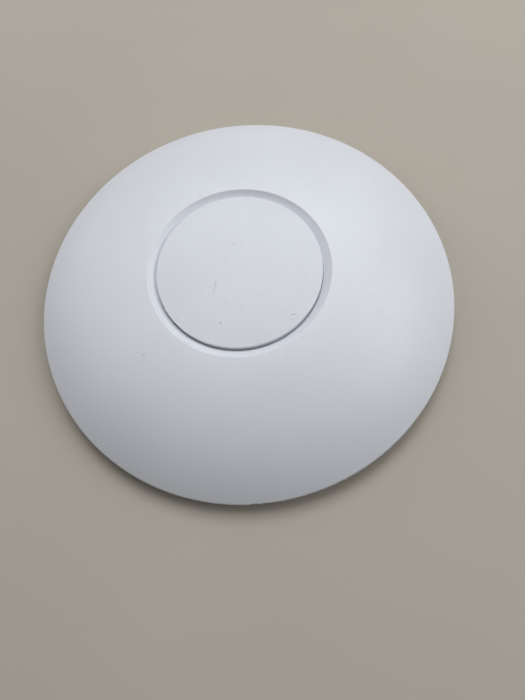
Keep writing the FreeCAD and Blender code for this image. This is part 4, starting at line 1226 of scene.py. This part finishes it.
    def dress(self) -> None:
        """Finish the board and everything that the frame carries on it."""
        dress(MASK, "main_board")
        dress(ZINC_SCREW, "board_screws")
        dress(SPREADER, "heat_spreader")
        dress(PAD, "thermal_pads")
        dress(CHIP, "main_processor", "memory_chips", "flash_chip", "radio_chip_24", "radio_chip_5",
              "ethernet_transformers")
        dress(TIN, "processor_shield", "radio_shield_24", "radio_shield_5", "crystal_oscillators",
              "antenna_24_a", "antenna_24_b", "antenna_24_c", "antenna_5_a", "antenna_5_b", "antenna_5_c")
        dress(FERRITE, "power_inductors", "poe_transformer")
        dress(CAN, "power_capacitors")
        dress(LAMP, "status_leds")


# ---- Studio ---------------------------------------------------------------------------------


@dataclass(frozen=True)
class SoftBox:
    """A square soft box that faces the part.

    Attributes:
        name: Name of the light.
        bearing: Direction that it stands in, in degrees from +Y towards +X.
        rise: Its height as an angle in degrees.
        watts: Its power.
    """

    name: str
    bearing: float
    rise: float
    watts: float


SOFT_BOXES = (
    SoftBox("far_box", 0.0, 62.0, 9.4),
    SoftBox("right_box", 90.0, 40.0, 6.3),
    SoftBox("low_far_left_box", 300.0, 15.0, 2.1),
    SoftBox("left_box", 270.0, 40.0, 2.9),
    SoftBox("far_right_box", 45.0, 40.0, 2.9),
)


@dataclass
class Studio:
    """Pale floor, soft lights and the camera.

    Attributes:
        floor_mm: Side of the floor.
        floor_gap_mm: How far the floor lies under the part.
        backdrop_mm: Outline of the backdrop, as radius and height.
        backdrop_low: sRGB hex colour of its foot, darker than its top as painted shade where it meets the
            floor.
        backdrop_high: sRGB hex colour of its top.
        box_mm: Side of a soft box.
        away_mm: Distance of the soft boxes from the origin.
        light: sRGB hex colour of the lights.
        lens_mm: Focal length.
        film_mm: Long side of the film.
        near_mm: Nearest distance that the camera sees.
        eye_mm: Place of the camera.
        look: Direction that the camera looks in.
        up: Direction of the picture's top.
    """

    floor_mm: float = 6000.0
    floor_gap_mm: float = 0.02
    backdrop_mm: tuple[Point, ...] = ((760.0, 1.0), (830.0, 9.0), (890.0, 40.0), (930.0, 105.0),
                                      (945.0, 200.0), (950.0, 1500.0))
    # The darker foot colour is painted shade where the backdrop meets the floor
    backdrop_low: str = "#87837A"
    backdrop_high: str = "#D3CFC8"
    box_mm: float = 800.0
    away_mm: float = 1300.0
    light: str = "#FAFCFF"
    lens_mm: float = 27.05
    film_mm: float = 36.0
    near_mm: float = 5.0
    eye_mm: Place = (23.9, -106.0, 238.1)
    look: Place = (-0.0626, 0.3147, -0.947)
    up: Place = (0.0208, 0.949, 0.314)

    def build(self) -> None:
        """Make the floor, the lights and the camera, and develop the picture without a film curve."""
        self.lay_floor()
        self.hang_backdrop()
        for box in SOFT_BOXES:
            self.hang(box)
        self.darken_room()
        self.set_camera()
        bpy.context.scene.view_settings.view_transform = "Standard"

    def lay_floor(self) -> None:
        """Lay a plain floor just under the part."""
        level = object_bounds()[0].z - mm(self.floor_gap_mm)
        bpy.ops.mesh.primitive_plane_add(size=mm(self.floor_mm), location=(0.0, 0.0, level))
        floor = bpy.context.object
        floor.name = "studio_floor"
        floor.data.materials.append(PAPER.material())
        floor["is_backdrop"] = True

    def hang_backdrop(self) -> None:
        """Hang a glowing backdrop that curves up from the floor and lights nothing. Its glow is pale at the
        top and darker towards its foot, painted shade where it meets the floor.
        """
        stock = Stock()
        foot = to_mm(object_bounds()[0].z)
        stock.lathe(self.backdrop_mm, (0.0, 0.0, foot), sides=96, capped=False)
        material = bpy.data.materials.new("backdrop_painted_glow_and_shade")
        material.use_nodes = True
        tree = material.node_tree
        tree.nodes.clear()
        place = add_node(tree, "TexCoord", {}).outputs["Object"]
        height = add_node(tree, "SeparateXYZ", {0: place}).outputs[2]
        # Painted shade: the glow darkens from the top down to the foot, where the backdrop meets the floor
        climb = {0: height, 1: 0.0, 2: mm(self.backdrop_mm[-1][1]), 3: 0.0, 4: 1.0}
        share = add_node(tree, "MapRange", climb, interpolation_type="SMOOTHSTEP").outputs[0]
        shades = {0: share, 6: linear(self.backdrop_low), 7: linear(self.backdrop_high)}
        colour = add_node(tree, "Mix", shades, data_type="RGBA").outputs[2]
        glow = add_node(tree, "Emission", {"Color": colour}).outputs[0]
        add_node(tree, "OutputMaterial", {"Surface": glow})
        backdrop = stock.shape("studio_backdrop", material)
        backdrop.visible_diffuse = False
        backdrop.visible_glossy = False
        backdrop.visible_transmission = False
        backdrop.visible_shadow = False
        backdrop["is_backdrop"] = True

    def hang(self, box: SoftBox) -> None:
        """Hang one soft box and turn it to the part.

        Args:
            box: The soft box.
        """
        data = bpy.data.lights.new(box.name, "AREA")
        data.size = mm(self.box_mm)
        data.energy = box.watts
        data.color = linear(self.light)[:3]
        bearing = math.radians(box.bearing)
        rise = math.radians(box.rise)
        flat = math.cos(rise)
        light = bpy.data.objects.new(box.name, data)
        light.visible_camera = False
        towards = Vector((math.sin(bearing) * flat, math.cos(bearing) * flat, math.sin(rise)))
        light.location = towards * mm(self.away_mm)
        light.rotation_mode = "QUATERNION"
        light.rotation_quaternion = (-light.location).to_track_quat("-Z", "Y")
        bpy.context.scene.collection.objects.link(light)

    def darken_room(self) -> None:
        """Leave the room itself dark, so that only the soft boxes and the floor light the part."""
        world = bpy.data.worlds.new("room")
        world.use_nodes = True
        world.node_tree.nodes["Background"].inputs["Strength"].default_value = 0.0
        bpy.context.scene.world = world

    def set_camera(self) -> None:
        """Place the camera where a person stands over the part with a wide lens."""
        data = bpy.data.cameras.new("camera")
        data.lens = self.lens_mm
        data.sensor_width = self.film_mm
        data.clip_start = mm(self.near_mm)
        camera = bpy.data.objects.new("camera", data)
        back = -Vector(self.look).normalized()
        right = Vector(self.up).cross(back).normalized()
        turn = Matrix((right, back.cross(right), back)).transposed().to_4x4()
        camera.matrix_world = Matrix.Translation(Vector(self.eye_mm) / MM_PER_METRE) @ turn
        bpy.context.scene.collection.objects.link(camera)
        bpy.context.scene.camera = camera


def main() -> None:
    """Dress the frame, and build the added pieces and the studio."""
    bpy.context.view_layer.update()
    for assembly in (FrontShell(), BackShell(), CeilingBracket(), PortBay(), MainBoard()):
        assembly.build()
        assembly.dress()
    Studio().build()


if __name__ == "__main__":
    logging.basicConfig(level=logging.INFO, format="%(name)s: %(message)s")
    main()
